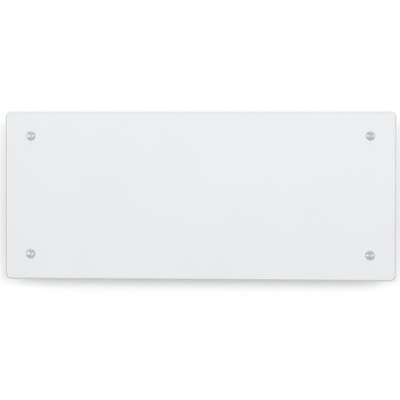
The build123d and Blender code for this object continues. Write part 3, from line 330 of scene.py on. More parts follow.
def rubber(name, colour, roughness=0.62):
    """Matt rubber with a faint bloom on it."""
    skin = Finish(name, colour, roughness, Specular_IOR_Level=0.35)
    bloom = skin.grain(5 * mm, 4.0)
    skin.tone(bloom, 1.0, 1.35)
    skin.relief(skin.grain(0.3 * mm), 0.02 * mm)
    skin.gloss(bloom, roughness - 0.08, roughness + 0.1)
    return skin.material


def zinc_coat(name, colour, flake, roughness=0.38):
    """Galvanised sheet: a spangle of dull and bright crystals, with fine rolling lines."""
    zinc = Finish(name, colour, roughness, Metallic=1.0)
    spangle = zinc.crystals(flake)
    shade = zinc.add("ShaderNodeSeparateColor", Color=spangle.outputs["Color"]).outputs["Red"]
    zinc.tone(shade, 0.93, 1.06, 0.0, 1.0)
    zinc.gloss(shade, roughness - 0.04, roughness + 0.06, 0.0, 1.0)
    zinc.relief(spangle.outputs["Distance"], 0.012 * mm)
    zinc.relief(zinc.grain(0.5 * mm, 1.0, stretch=(30.0, 1.0, 1.0)), 0.004 * mm)
    return zinc.material


def drawn_metal(name, colour, roughness, stretch=(60.0, 1.0, 1.0), line=0.25 * mm, tarnish=0.9):
    """Metal with fine lines along the way that it was drawn, rolled or turned."""
    metal = Finish(name, colour, roughness, Metallic=1.0)
    lines = metal.grain(line, stretch=stretch)
    metal.tone(metal.grain(18 * mm, 4.0, seed=2.0), tarnish, 1.0)
    metal.gloss(lines, roughness - 0.06, roughness + 0.1)
    metal.relief(lines, 0.008 * mm)
    return metal.material


def ceramic(name, colour):
    """Unglazed fired clay, with darker specks."""
    clay = Finish(name, colour, 0.6, Specular_IOR_Level=0.4)
    speck = clay.grain(0.9 * mm, 4.0)
    clay.tone(speck, 0.86, 1.0, 0.3, 0.5)
    clay.relief(clay.grain(0.6 * mm, 3.0), 0.03 * mm)
    clay.gloss(speck, 0.52, 0.68)
    return clay.material


def board_laminate(name, colour):
    """Lacquered glass-fibre board, with the weave just showing."""
    board = Finish(name, colour, 0.3, Coat_Weight=0.4, Coat_Roughness=0.12)
    weave = board.grain(0.6 * mm, 1.0, stretch=(6.0, 1.0, 1.0))
    board.tone(weave, 0.8, 1.2)
    board.relief(weave, 0.01 * mm)
    board.gloss(weave, 0.26, 0.36)
    return board.material


def clear_washer_plastic(name):
    clear = Finish(name, (0.93, 0.94, 0.95), 0.08, Transmission_Weight=0.85, IOR=1.49)
    clear.tone(clear.grain(4 * mm), 0.97, 1.0)
    clear.relief(clear.grain(2 * mm, 1.0), 0.01 * mm)
    clear.gloss(clear.grain(3 * mm), 0.05, 0.14)
    return clear.material


def smoked_lens(name):
    lens = Finish(name, (0.012, 0.013, 0.015), 0.06, Alpha=0.72, Coat_Weight=0.6, Coat_Roughness=0.02)
    lens.tone(lens.grain(9 * mm), 1.0, 1.3)
    lens.gloss(lens.grain(4 * mm), 0.04, 0.1)
    lens.relief(lens.grain(11 * mm, 1.0), 0.01 * mm)
    return lens.material


def glass_front(name):
    """White enamel seen through clear glass, whose polished face gives the sharp reflection, with painted
    shade and highlight near the edge.
    """
    glass = Finish(name, (0.783, 0.792, 0.800), 0.6, Specular_IOR_Level=0.0, Coat_Weight=1.0,
                   Coat_Roughness=0.015, Coat_IOR=1.52)
    cloud = glass.grain(140 * mm)
    # Painted shade and highlight near the edge: a darker line, a lighter strip by the bevel, and darker
    # enamel along the top.
    line = glass.add("ShaderNodeValToRGB", Fac=glass.attribute("painted_edge_shading"))
    line.color_ramp.elements[0].color = (0.90, 0.905, 0.905, 1.0)
    line.color_ramp.elements[1].color = (1.0, 1.0, 1.0, 1.0)
    line.color_ramp.elements.new(0.5).color = (0.955, 0.955, 0.955, 1.0)
    glass.show(Base_Color=glass.mixed(1.0, glass.shades(cloud, 0.994, 1.004), line, "MULTIPLY"))
    glass.gloss(cloud, 0.56, 0.64)
    glass.relief(glass.grain(70 * mm, 1.0, seed=4.0), 0.01 * mm)
    return glass.material


def glass_edge(name):
    """The polished edge: a little green, with a painted highlight that makes it palest along the top."""
    glass = Finish(name, (0.60, 0.615, 0.612), 0.22, Specular_IOR_Level=0.6, Coat_Weight=1.0,
                   Coat_Roughness=0.03, Coat_IOR=1.52)
    cloud = glass.grain(30 * mm, 1.0)
    # Painted highlight: the edge is lighter along the top, as if lit from above.
    upwards = glass.between(glass.attribute("painted_edge_shading"), 0.0, 1.0, 0.5, 1.0)
    side, top = glass.shades(cloud, 0.985, 1.01), glass.shades(cloud, 1.17, 1.20)
    glass.show(Base_Color=glass.mixed(upwards, side, top))
    glass.gloss(glass.grain(9 * mm), 0.2, 0.26)
    glass.relief(glass.grain(5 * mm, 1.0), 0.005 * mm)
    return glass.material


def glass_back(name):
    """The back of the glass: the dry side of the enamel."""
    enamel = Finish(name, (0.72, 0.73, 0.735), 0.55, Specular_IOR_Level=0.4)
    enamel.tone(enamel.grain(30 * mm, 3.0), 0.97, 1.0)
    enamel.gloss(enamel.grain(12 * mm), 0.5, 0.6)
    enamel.relief(enamel.grain(0.8 * mm), 0.02 * mm)
    return enamel.material


def turned_polish(name, colour, roughness):
    """Polished metal with the lathe's fine rings, which stretch each reflection across them."""
    metal = Finish(name, colour, roughness, Metallic=1.0, Anisotropic=0.9, Anisotropic_Rotation=0.25)
    spread = metal.add("ShaderNodeUVMap", {"uv_map": "UVMap"})
    across = metal.add("ShaderNodeSeparateXYZ", Vector=spread).outputs["Y"]
    rings = metal.add("ShaderNodeTexNoise", {"noise_dimensions": "1D"}, W=across, Scale=260.0, Detail=2.0)
    metal.tone(rings, 0.95, 1.04)
    metal.gloss(rings, roughness - 0.04, roughness + 0.06)
    metal.relief(rings, 0.002 * mm)
    along = metal.add("ShaderNodeTangent", {"direction_type": "UV_MAP", "uv_map": "UVMap"})
    metal.show(Tangent=along)
    return metal.material


finishes = {
    "white_glass": glass_front("white_glass_front"),
    "cap_metal": turned_polish("cap_metal_turned", (0.94, 0.94, 0.945), 0.36),
    "clear_plastic": clear_washer_plastic("washer_clear_plastic"),
    "white_nylon": moulded_plastic("nylon_white", (0.82, 0.82, 0.79), 0.48),
    "zinc_screws": drawn_metal("screw_bright_zinc", (0.70, 0.71, 0.73), 0.28, stretch=(1.0, 1.0, 1.0),
                               line=0.6 * mm),
    "standoff_metal": drawn_metal("standoff_satin", (0.76, 0.76, 0.77), 0.34, stretch=(1.0, 0.2, 1.0)),
    "white_powder_coat": powder_coat("casing_powder_coat", (0.73, 0.735, 0.74)),
    "rear_powder_coat": powder_coat("rear_panel_powder_coat", (0.70, 0.705, 0.71), 1.2 * mm),
    "grille_plastic": moulded_plastic("grille_moulding", (0.69, 0.695, 0.70), 0.46),
    "element_aluminium": drawn_metal("element_extrusion", (0.72, 0.73, 0.74), 0.36),
    "rod_steel": drawn_metal("rod_heat_darkened", (0.30, 0.29, 0.28), 0.42, tarnish=0.6),
    "insulator_ceramic": ceramic("insulator_ceramic_bush", (0.80, 0.77, 0.69)),
    "galvanised_sheet": zinc_coat("bracket_foot_galvanised", (0.62, 0.63, 0.64), 5 * mm),
    "aluminium_rivets": drawn_metal("rivet_aluminium", (0.72, 0.72, 0.73), 0.4, stretch=(1.0, 1.0, 1.0)),
    "shield_sheet": drawn_metal("shield_rolled_sheet", (0.74, 0.75, 0.76), 0.22, tarnish=0.94),
    "black_rubber": rubber("grommet_rubber", (0.022, 0.022, 0.023)),
    "buffer_rubber": rubber("buffer_rubber_grey", (0.085, 0.085, 0.09)),
    "cutout_ceramic": ceramic("cutout_dark_ceramic", (0.16, 0.13, 0.115)),
    "pod_plastic": moulded_plastic("pod_cover_moulding", (0.70, 0.705, 0.71), 0.44),
    "pod_tray_plastic": moulded_plastic("pod_tray_moulding", (0.10, 0.10, 0.11), 0.55),
    "smoked_lens": smoked_lens("lens_smoked"),
    "display_plastic": moulded_plastic("display_body", (0.035, 0.035, 0.04), 0.5),
    "board_laminate": board_laminate("board_green_lacquer", (0.02, 0.14, 0.06)),
    "relay_plastic": moulded_plastic("relay_case", (0.035, 0.08, 0.22), 0.4),
    "switch_plastic": moulded_plastic("switch_frame_moulding", (0.028, 0.028, 0.03), 0.32,
                                      depth=0.008 * mm),
    "rocker_plastic": moulded_plastic("switch_rocker_moulding", (0.032, 0.032, 0.034), 0.26,
                                      depth=0.006 * mm),
    "gland_plastic": moulded_plastic("gland_moulding", (0.40, 0.41, 0.42), 0.5),
    "terminal_plastic": moulded_plastic("terminal_moulding", (0.74, 0.73, 0.67), 0.5),
    "stud_brass": drawn_metal("stud_brass_plain", (0.72, 0.53, 0.24), 0.3, stretch=(1.0, 0.2, 1.0)),
    "sensor_steel": drawn_metal("sensor_drawn_steel", (0.62, 0.62, 0.62), 0.26, stretch=(1.0, 1.0, 20.0)),
    "lead_silicone": rubber("lead_sleeve", (0.42, 0.075, 0.05), 0.5),
    "bracket_zinc": zinc_coat("wall_bracket_galvanised", (0.68, 0.69, 0.70), 7 * mm),
    "lever_nylon": moulded_plastic("lever_moulding", (0.56, 0.58, 0.60), 0.45),
    "button_plastic": moulded_plastic("button_moulding", (0.66, 0.665, 0.67), 0.4, texture=0.35 * mm),
}
edge_of_glass = glass_edge("white_glass_edge")
back_of_glass = glass_back("white_glass_back")
lit_strokes = moulded_plastic("display_stroke_lit", (0.75, 0.85, 0.9), 0.5, Emission_Strength=4.0,
                              Emission_Color=(0.80, 0.95, 1.0, 1.0))
dark_strokes = moulded_plastic("display_stroke_off", (0.075, 0.08, 0.085), 0.5)

slot_of = {}
for name, node in frame["nodes"].items():
    slot_of[name] = node.material_slots[0].material.name
    node.material_slots[0].material = finishes[slot_of[name]]


# Shaping tools


bodies = frame["record"]["behaviour"]["bodies"]
body_of = {node: body for body, nodes in bodies.items() for node in nodes}


def new_piece(name, mesh, body, slot, *materials):
    """A finished piece: its mesh is in place, it rides on its body and takes its slot's finish."""
    if not mesh.materials:
        for material in materials or (finishes[slot],):
            mesh.materials.append(material)
    piece = new_object(name, mesh)
    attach(piece, body)
    return piece


def take_over(node, mesh, *materials):
    """Puts a finished mesh in the place of a plain node, on the same body and with the same finish."""
    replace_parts(new_piece(mesh.name, mesh, body_of[node], slot_of[node], *materials), node)


def middle_of(node):
    low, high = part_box(node)
    return (low + high) / 2


def finished(build, name, angle=32):
    """Turns the faces outwards and hands over a smooth mesh, sharp where its faces meet above this angle."""
    bmesh.ops.recalc_face_normals(build, faces=build.faces)
    mesh = bpy.data.meshes.new(name)
    build.to_mesh(mesh)
    build.free()
    mesh.shade_smooth()
    mesh.set_sharp_from_angle(angle=math.radians(angle))
    return mesh


def turned_mesh(name, outline, segments=64):
    """A turned form: an outline of (radius, height) pairs, spun round the Z axis, with a UV map."""
    build = bmesh.new()
    uv = build.loops.layers.uv.new("UVMap")
    lengths = [0.0]
    for (r0, h0), (r1, h1) in zip(outline, outline[1:]):
        lengths.append(lengths[-1] + math.hypot(r1 - r0, h1 - h0))
    total = lengths[-1]
    rings = []
    for radius, height in outline:
        count = 1 if radius == 0 else segments
        rings.append([
            build.verts.new((radius * math.cos(2 * math.pi * i / segments),
                             radius * math.sin(2 * math.pi * i / segments), height))
            for i in range(count)
        ])
    for k in range(len(rings) - 1):
        for i in range(segments):
            j = (i + 1) % segments
            low, high = rings[k], rings[k + 1]
            corners = [(low[i % len(low)], i, k), (low[j % len(low)], i + 1, k),
                       (high[j % len(high)], i + 1, k + 1), (high[i % len(high)], i, k + 1)]
            if len(low) == 1:
                corners = [(low[0], i + 0.5, k)] + corners[2:]
            elif len(high) == 1:
                corners = corners[:2] + [(high[0], i + 0.5, k + 1)]
            face = build.faces.new([corner[0] for corner in corners])
            for loop, (_, turn, step) in zip(face.loops, corners):
                loop[uv].uv = (turn / segments, lengths[step] / total)
    bmesh.ops.remove_doubles(build, verts=build.verts, dist=0.0001 * mm)
    return finished(build, name)


def laid_down(mesh, x, depth, z):
    """Moves a turned form to its place, with its axis laid down to point into the room."""
    mesh.transform(Matrix.Translation((x, depth, z)) @ Matrix.Rotation(math.pi / 2, 4, "X"))
    return mesh


def rounded(outline, radius, steps=4):
    """The same outline with each inner corner rounded to this radius, or less where there's no room."""
    points = [Vector(p) for p in outline]
    result = [points[0]]
    for before, corner, after in zip(points, points[1:], points[2:]):
        back, ahead = before - corner, after - corner
        turn = back.angle(ahead)
        reach = min(radius / math.tan(turn / 2), 0.45 * back.length, 0.45 * ahead.length)
        start = corner + back.normalized() * reach
        end = corner + ahead.normalized() * reach
        for i in range(steps + 1):
            t = i / steps
            result.append(start * (1 - t) ** 2 + corner * 2 * t * (1 - t) + end * t ** 2)
    return [tuple(p) for p in result + [points[-1]]]


def upright(u, v, depth):
    """A plan that stands upright, as the glass does."""
    return u, depth, v


def level(u, v, height):
    """A plan that lies level, as the top of the casing does."""
    return u, v, height


def panel_loop(build, low, high, radius, inset, height, lay=upright, steps=10):
    """A rounded rectangle as a ring of corners, this far inside the outline."""
    radius = max(radius - inset, 0.2 * mm)
    ring = []
    corners = (
        (high[0] - inset - radius, high[1] - inset - radius, 0),
        (low[0] + inset + radius, high[1] - inset - radius, 1),
        (low[0] + inset + radius, low[1] + inset + radius, 2),
        (high[0] - inset - radius, low[1] + inset + radius, 3),
    )
    for u, v, quarter in corners:
        for i in range(steps + 1):
            a = math.pi / 2 * (quarter + i / steps)
            ring.append(build.verts.new(lay(u + radius * math.cos(a), v + radius * math.sin(a), height)))
    return ring


def bridged(build, first, second, material=0):
    """Faces between two rings that have as many corners."""
    for i in range(len(first)):
        j = (i + 1) % len(first)
        face = build.faces.new((first[i], first[j], second[j], second[i]))
        face.material_index = material


def level_form(build, low, high, radius, profile, open_middle=False):
    """A level rounded rectangle from rings of (inset, height): a lid, or a frame round an open middle."""
    rings = [panel_loop(build, low, high, radius, inset, height, level, 6) for inset, height in profile]
    for first, second in zip(rings, rings[1:] + (rings[:1] if open_middle else [])):
        bridged(build, first, second)
    if not open_middle:
        build.faces.new(rings[0])
        build.faces.new(rings[-1])


def prism(build, outline, middle, low, high):
    """A flat shape between two heights, with its outline in millimetres round a middle."""
    ends = [[build.verts.new((middle.x + x * mm, middle.y + y * mm, z)) for x, y in outline]
            for z in (low, high)]
    bridged(build, ends[0], ends[1])
    build.faces.new(ends[0])
    build.faces.new(ends[1])


def worked_out(holder):
    """The plain mesh that a holder's modifier makes. The holder is taken away."""
    ready = bpy.context.evaluated_depsgraph_get()
    mesh = bpy.data.meshes.new_from_object(holder.evaluated_get(ready))
    holder.modifiers.clear()
    bpy.data.objects.remove(holder)
    return mesh


def flat_faced(mesh, name):
    """The same mesh, shaded so that its wide faces look flat right up to their rounded edges."""
    holder = new_object(f"{name}_holder", mesh)
    holder.modifiers.new("weights", "WEIGHTED_NORMAL").keep_sharp = True
    result = worked_out(holder)
    result.name = name
    return result


def softened(node, width, steps=2, sharp=28):
    """The node's own form with its sharp edges rounded to this width."""
    source = frame["nodes"][node]
    build = bmesh.new()
    build.from_mesh(source.data)
    build.transform(source.matrix_world)
    bmesh.ops.remove_doubles(build, verts=build.verts, dist=0.003 * mm)
    bmesh.ops.dissolve_limit(build, angle_limit=math.radians(0.5), verts=build.verts, edges=build.edges)
    edges = [
        edge for edge in build.edges
        if len(edge.link_faces) == 2 and edge.calc_face_angle(0.0) > math.radians(sharp)
    ]
    bmesh.ops.bevel(build, geom=edges, offset=width, offset_type="OFFSET", segments=steps, profile=0.5,
                    affect="EDGES", clamp_overlap=True)
    return flat_faced(finished(build, f"{node}_plain", 40), f"{node}_soft")


class Recipe(Tree):
    """A node tree that grows a mesh from a base mesh and from named sizes."""

    def __init__(self, name, **sizes):
        super().__init__(bpy.data.node_groups.new(name, "GeometryNodeTree"))
        sockets = self.tree.interface
        sockets.new_socket("Geometry", in_out="OUTPUT", socket_type="NodeSocketGeometry")
        sockets.new_socket("Base", in_out="INPUT", socket_type="NodeSocketGeometry")
        self.values = {}
        for label, value in sizes.items():
            kind = "NodeSocketInt" if isinstance(value, int) else "NodeSocketFloat"
            self.values[sockets.new_socket(label, in_out="INPUT", socket_type=kind).identifier] = value
        given = self.add("NodeGroupInput").outputs
        self.base = given["Base"]
        self.size = {label: given[label] for label in sizes}

    def vector(self, x, y, z):
        return self.add("ShaderNodeCombineXYZ", X=x, Y=y, Z=z)

    def place(self):
        """The three coordinates of each point."""
        return self.add("ShaderNodeSeparateXYZ", Vector=self.add("GeometryNodeInputPosition")).outputs

    def moved(self, shape, x, y, z):
        return self.add("GeometryNodeSetPosition", Geometry=shape, Position=self.vector(x, y, z))

    def joined(self, *shapes):
        join = self.add("GeometryNodeJoinGeometry")
        for shape in shapes:
            self.fill(join, _0=shape)
        return join

    def row(self, count, x, y, z, step_x=0.0, step_y=0.0):
        """Points in a straight row, centred on a place."""
        back = self.math("MULTIPLY_ADD", count, -0.5, 0.5)
        first_x = self.math("MULTIPLY_ADD", back, step_x, x)
        first_y = self.math("MULTIPLY_ADD", back, step_y, y)
        start, step = self.vector(first_x, first_y, z), self.vector(step_x, step_y, 0.0)
        return self.add("GeometryNodeMeshLine", Count=count, Start_Location=start, Offset=step)

    def grow(self, shape, name, material, base):
        """Works the tree out once and returns its result as a plain mesh."""
        real = self.add("GeometryNodeRealizeInstances", Geometry=shape)
        painted = self.add("GeometryNodeSetMaterial", Geometry=real, Material=material)
        self.add("NodeGroupOutput", Geometry=painted)
        holder = new_object(f"{name}_holder", base)
        modifier = holder.modifiers.new("recipe", "NODES")
        modifier.node_group = self.tree
        for identifier, value in self.values.items():
            modifier[identifier] = value
        build = bmesh.new()
        build.from_mesh(worked_out(holder))
        mesh = finished(build, name)
        mesh.materials.append(material)
        return mesh


# Glass and caps


fixing_names = ("top_left", "top_right", "bottom_left", "bottom_right")
fixing_middles = [middle_of(f"fixing_cap_{name}") for name in fixing_names]

glass_corner = 12 * mm
hole_radius = 5 * mm
bevel_width = 2.6 * mm
bevel_depth = 1.8 * mm
rear_arris = 0.6 * mm
edge_softness = 0.22 * mm
enamel_side, edge_side, back_side = 0, 1, 2


def glass_bands(front, back):
    """The rings of the glass: how far in each lies, its depth, and its painted shading beside and below, and
    along the top.
    """
    soft = edge_softness
    # Painted shade and highlight: beside and below, a darker line in the enamel and a lighter strip by the
    # bevel; along the top, enamel that darkens towards the edge and a paler edge.
    return (
        (9.5 * mm, front, 0.5, 0.5),
        (6.9 * mm, front, 0.5, 0.25),
        (6.1 * mm, front, 0.0, 0.18),
        (5.4 * mm, front, 0.5, 0.12),
        (4.4 * mm, front, 1.0, 0.05),
        (bevel_width + soft, front, 1.0, 0.0),
        (bevel_width, front + 0.03 * mm, 0.5, 1.0),
        (bevel_width - 2 * soft, front + 0.6 * soft, 0.5, 1.0),
        (soft, front + bevel_depth - soft, 0.5, 1.0),
        (0.06 * mm, front + bevel_depth, 0.5, 1.0),
        (0.0, front + bevel_depth + 1.4 * soft, 0.5, 1.0),
        (0.0, back - rear_arris - soft, 0.5, 1.0),
        (rear_arris, back, 0.5, 1.0),
    )


def drilled_hole(build, painted_edge_shading, middle, front, back, points=32):
    """A hole right through the glass. Returns its front ring and its back ring."""
    rings = []
    for depth in (front, back):
        ring = []
        for i in range(points):
            a = 2 * math.pi * i / points
            x, z = middle.x + hole_radius * math.cos(a), middle.z + hole_radius * math.sin(a)
            vert = build.verts.new((x, depth, z))
            vert[painted_edge_shading] = 0.5
            ring.append(vert)
        rings.append(ring)
    bridged(build, rings[0], rings[1], edge_side)
    return rings


def flat_side(build, rings, material):
    """One flat side of the glass, between its outer ring and the holes."""
    edges = []
    for ring in rings:
        pairs = zip(ring, ring[1:] + ring[:1])
        edges += [build.edges.get(pair) or build.edges.new(pair) for pair in pairs]
    made = bmesh.ops.triangle_fill(build, use_beauty=True, use_dissolve=False, edges=edges)
    for face in made["geom"]:
        if isinstance(face, bmesh.types.BMFace):
            face.material_index = material


def glass_panel():
    """The glass: enamelled face, polished bevel and edge, four drilled holes."""
    low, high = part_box("glass_panel")
    bands = glass_bands(low.y, high.y)
    build = bmesh.new()
    # Each corner keeps its painted shading, which the enamel and the edge finishes read.
    painted_edge_shading = build.verts.layers.float.new("painted_edge_shading")
    rings = []
    for inset, depth, beside, above in bands:
        ring = panel_loop(build, (low.x, low.z), (high.x, high.z), glass_corner, inset, depth)
        for vert in ring:
            share = (vert.co.z - high.z + glass_corner) / (glass_corner - inset)
            vert[painted_edge_shading] = beside + (above - beside) * min(1.0, max(0.0, share))
        rings.append(ring)
    for first, second, band in zip(rings, rings[1:], bands[1:]):
        bridged(build, first, second, enamel_side if band[1] == low.y else edge_side)
    holes = [drilled_hole(build, painted_edge_shading, middle, low.y, high.y) for middle in fixing_middles]
    flat_side(build, [rings[0]] + [hole[0] for hole in holes], enamel_side)
    flat_side(build, [rings[-1]] + [hole[1] for hole in holes], back_side)
    mesh = finished(build, "glass_front_panel", 30)
    take_over("glass_panel", mesh, finishes["white_glass"], edge_of_glass, back_of_glass)


def threaded(shank, length, depth=0.35 * mm):
    """The outline of a screw thread, from the head down to its end."""
    outline = [(shank, 0.0)]
    for i in range(int(length / mm) - 1):
        outline += [(shank, -(i + 0.3) * mm), (shank - depth, -(i + 0.8) * mm)]
    return outline + [(shank, -length + 0.5 * mm), (shank - 0.5 * mm, -length), (0.0, -length)]


def fixing_cap(name):
    """A turned cap: a faintly crowned face, a rolled rim, an undercut at its foot and a threaded shank."""
    node = f"fixing_cap_{name}"
    low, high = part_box(node)
    radius = (high.x - low.x) / 2
    height = 3.2 * mm
    crown = 0.4 * mm
    flat = radius - 1.6 * mm
    face = [(flat * i / 6, height - crown * (i / 6) ** 2 * 0.8) for i in range(7)]
    rim = [(flat + 0.5 * mm, height - crown - 0.1 * mm), (radius - 0.25 * mm, height - 0.95 * mm),
           (radius, 1.5 * mm), (radius, 0.5 * mm), (radius - 0.4 * mm, 0.0)]
    shank = threaded(3.0 * mm, high.y - low.y - height)
    outline = face[:-1] + rounded([face[-1]] + rim, 0.5 * mm) + shank
    mesh = turned_mesh(f"{node}_turned", outline)
    take_over(node, laid_down(mesh, middle_of(node).x, low.y + height, middle_of(node).z))


glass_panel()
for name in fixing_names:
    fixing_cap(name)


# Back: screws, buffers, bracket and levers


def cross_recess(recipe):
    """The base with a cross cut into the top of its head."""
    size = recipe.size
    cut_height = recipe.math("MULTIPLY", size["Slot_depth"], 2.0)
    slot = recipe.vector(size["Slot_length"], size["Slot_width"], cut_height)
    bar = recipe.add("GeometryNodeTransform", Geometry=recipe.add("GeometryNodeMeshCube", Size=slot),
                     Translation=recipe.vector(0.0, 0.0, size["Head_height"]))
    crossed = recipe.add("GeometryNodeTransform", Geometry=bar, Rotation=(0.0, 0.0, math.pi / 2))
    cut = recipe.add("GeometryNodeMeshBoolean", {"operation": "DIFFERENCE"}, Mesh_1=recipe.base, Mesh_2=bar)
    recipe.fill(cut, Mesh_2=crossed)
    return cut


def panel_screws():
    """Pan-head screws with a cross recess, each stopped at its own angle."""
    node = "rear_panel_screws"
    low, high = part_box(node)
    head, rise = 3.6 * mm, 2.0 * mm
    panel = high.y - rise
    dome = [(0.0, rise), (0.6 * head, 0.96 * rise), (0.97 * head, 0.5 * rise), (head, 0.0)]
    outline = rounded(dome, 1.5 * mm) + threaded(1.7 * mm, panel - low.y)
    screw = turned_mesh("panel_screw", outline, 32)
    recipe = Recipe("panel_screw_rows", Across=high.x - low.x - 2 * head, Row_start=9 * mm, Columns=4,
                    Up=high.z - low.z - 2 * head, Slot_length=4.0 * mm, Slot_width=0.9 * mm,
                    Slot_depth=1.3 * mm, Head_height=rise)
    size = recipe.size
    row_length = recipe.math("MULTIPLY_ADD", size["Row_start"], -2.0, size["Across"])
    rows = recipe.add("GeometryNodeMeshGrid", Size_X=row_length, Size_Y=size["Up"],
                      Vertices_X=size["Columns"], Vertices_Y=2)
    sides = recipe.row(2, 0.0, 0.0, 0.0, step_x=size["Across"])
    places = recipe.add("GeometryNodeTransform", Geometry=recipe.joined(rows, sides),
                        Rotation=(math.pi / 2, 0.0, 0.0),
                        Translation=((low.x + high.x) / 2, panel, (low.z + high.z) / 2))
    driven = recipe.add("GeometryNodeInstanceOnPoints", Points=places, Instance=cross_recess(recipe),
                        Rotation=(-math.pi / 2, 0.0, 0.0))
    turn = recipe.add("FunctionNodeRandomValue", {"data_type": "FLOAT_VECTOR"}, _0=(0.0, 0.0, 0.0),
                      _1=(0.0, 0.0, math.pi), Seed=4)
    stopped = recipe.add("GeometryNodeRotateInstances", Instances=driven,
                         Rotation=recipe.add("FunctionNodeEulerToRotation", Euler=turn))
    take_over(node, recipe.grow(stopped, "rear_panel_screw_set", finishes["zinc_screws"], screw))


def wall_buffer(side):
    """A rubber foot with a hollow face and two grooves, and a barb through the rear panel."""
    node = f"wall_buffer_{side}"
    low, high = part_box(node)
    radius, gap = (high.x - low.x) / 2, 20 * mm
    length = high.y - low.y
    waist, groove = 0.93 * radius, 1.8 * mm
    face = [(0.0, 1.0 * mm), (0.34 * radius, 1.0 * mm), (0.44 * radius, 0.1 * mm), (0.8 * radius, 0.0),
            (0.96 * radius, 0.9 * mm), (radius, 2.4 * mm)]
    grooves = []
    for place in (7.5 * mm, 12.5 * mm):
        grooves += [(radius, place - groove / 2), (waist, place - groove / 4), (waist, place + groove / 4),
                    (radius, place + groove / 2)]
    foot = [(radius, gap - 0.4 * mm), (radius - 0.4 * mm, gap)]
    panel = gap + 1.0 * mm
    barb = [(2.5 * mm, gap), (2.5 * mm, panel), (4.0 * mm, panel), (2.4 * mm, length), (0.0, length)]
    mesh = turned_mesh(f"{node}_turned", rounded(face + grooves + foot, 0.4 * mm, 2) + barb, 48)
    take_over(node, laid_down(mesh, middle_of(node).x, high.y, middle_of(node).z))


def lever_rivets():
    """The rivets that the lock levers turn on: a low head on the lever, a hollow tail in the bracket."""
    node = "lever_rivets"
    low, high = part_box(node)
    middle = middle_of(node)
    shank, rim = 3.0 * mm, 6.0 * mm
    neck, top = high.y - low.y - 1.4 * mm, high.y - low.y
    tail = [(0.0, 0.6 * mm), (1.3 * mm, 0.55 * mm), (2.3 * mm, 0.08 * mm), (2.75 * mm, 0.0),
            (shank, 0.3 * mm)]
    head = [(shank, neck), (rim, neck), (rim, neck + 0.7 * mm), (5.3 * mm, top), (2.6 * mm, top),
            (1.9 * mm, top - 0.4 * mm), (0.0, top - 0.45 * mm)]
    rivet = turned_mesh("lever_rivet", rounded(tail + head, 0.25 * mm, 2), 40)
    recipe = Recipe("lever_rivet_pair", Rivets=2, Spacing=high.x - low.x - 2 * rim)
    places = recipe.row(recipe.size["Rivets"], middle.x, high.y, middle.z, step_x=recipe.size["Spacing"])
    set_in = recipe.add("GeometryNodeInstanceOnPoints", Points=places, Instance=recipe.base,
                        Rotation=(math.pi / 2, 0.0, 0.0))
    take_over(node, recipe.grow(set_in, "lever_rivet_set", finishes[slot_of[node]], rivet))


panel_screws()
lever_rivets()
for side in ("left", "right"):
    wall_buffer(side)
    take_over(f"lock_lever_{side}", softened(f"lock_lever_{side}", 0.5 * mm))
take_over("wall_bracket", softened("wall_bracket", 0.25 * mm, 1))


# Outlet grille


grille_border = 1.5 * mm
grille_wall_outside = 3.3 * mm
grille_wall_inside = 4.9 * mm
grille_wall = grille_wall_inside - grille_wall_outside


def grille_frame(low, high):
    """The moulded border, and the wall that hangs from it into the casing."""
    deck, inside = high.z - grille_border, grille_wall_inside
    border = [
        (0.0, deck), (0.0, deck + 0.9 * mm), (0.18 * mm, deck + 1.32 * mm), (0.6 * mm, high.z),
        (inside - 0.5 * mm, high.z), (inside - 0.15 * mm, high.z - 0.15 * mm), (inside, deck + 0.9 * mm),
    ]
    wall = [(inside, low.z), (grille_wall_outside, low.z), (grille_wall_outside, deck)]
    build = bmesh.new()
    level_form(build, (low.x, low.y), (high.x, high.y), 3 * mm, border + wall, open_middle=True)
    return finished(build, "grille_frame")


def blade_section(recipe):
    """One blade's section: a thin crescent with a round edge, which leans out into the room."""
    size = recipe.size
    outline = recipe.add("GeometryNodeMeshCircle", {"fill_type": "NGON"}, Vertices=24, Radius=1.0)
    x, y, _ = recipe.place()
    up = recipe.math("MULTIPLY_ADD", x, 0.5, 0.5)
    thinning = recipe.math("SUBTRACT", size["Tip"], size["Root"])
    thickness = recipe.math("MULTIPLY_ADD", up, thinning, size["Root"])
    hump = recipe.math("MULTIPLY", up, recipe.math("SUBTRACT", 1.0, up))
    sag = recipe.math("MULTIPLY", hump, size["Bow"])
    lean = recipe.math("MULTIPLY_ADD", up, size["Lean"], size["First_root"])
    back = recipe.math("MULTIPLY_ADD", sag, -4.0, lean)
    flatter = recipe.math("POWER", recipe.math("ABSOLUTE", y), 0.35)
    face = recipe.math("MULTIPLY", recipe.math("SIGN", y), flatter)
    side = recipe.math("MULTIPLY_ADD", face, 0.5, 0.5)
    out = recipe.math("MULTIPLY_ADD", thickness, side, back)
    height = recipe.math("MULTIPLY_ADD", up, size["Rise"], size["Foot"])
    return recipe.moved(outline, recipe.math("MULTIPLY_ADD", size["Length"], -0.5, size["Middle"]),
                        recipe.math("MULTIPLY", out, -1.0), height)


def grille_blades(recipe):
    """The curved blades, side by side along the grille."""
    size = recipe.size
    section = blade_section(recipe)
    drawn = recipe.add("GeometryNodeExtrudeMesh", {"mode": "FACES"}, Mesh=section, Offset=(1.0, 0.0, 0.0),
                       Offset_Scale=size["Length"], Individual=False)
    near_end = recipe.add("GeometryNodeFlipFaces", Mesh=section)
    closed = recipe.joined(drawn, near_end)
    blade = recipe.add("GeometryNodeMergeByDistance", Geometry=closed, Distance=0.001 * mm)
    places = recipe.row(size["Blades"], 0.0, 0.0, 0.0, step_y=size["Pitch"])
    return recipe.add("GeometryNodeInstanceOnPoints", Instance=blade, Points=places)


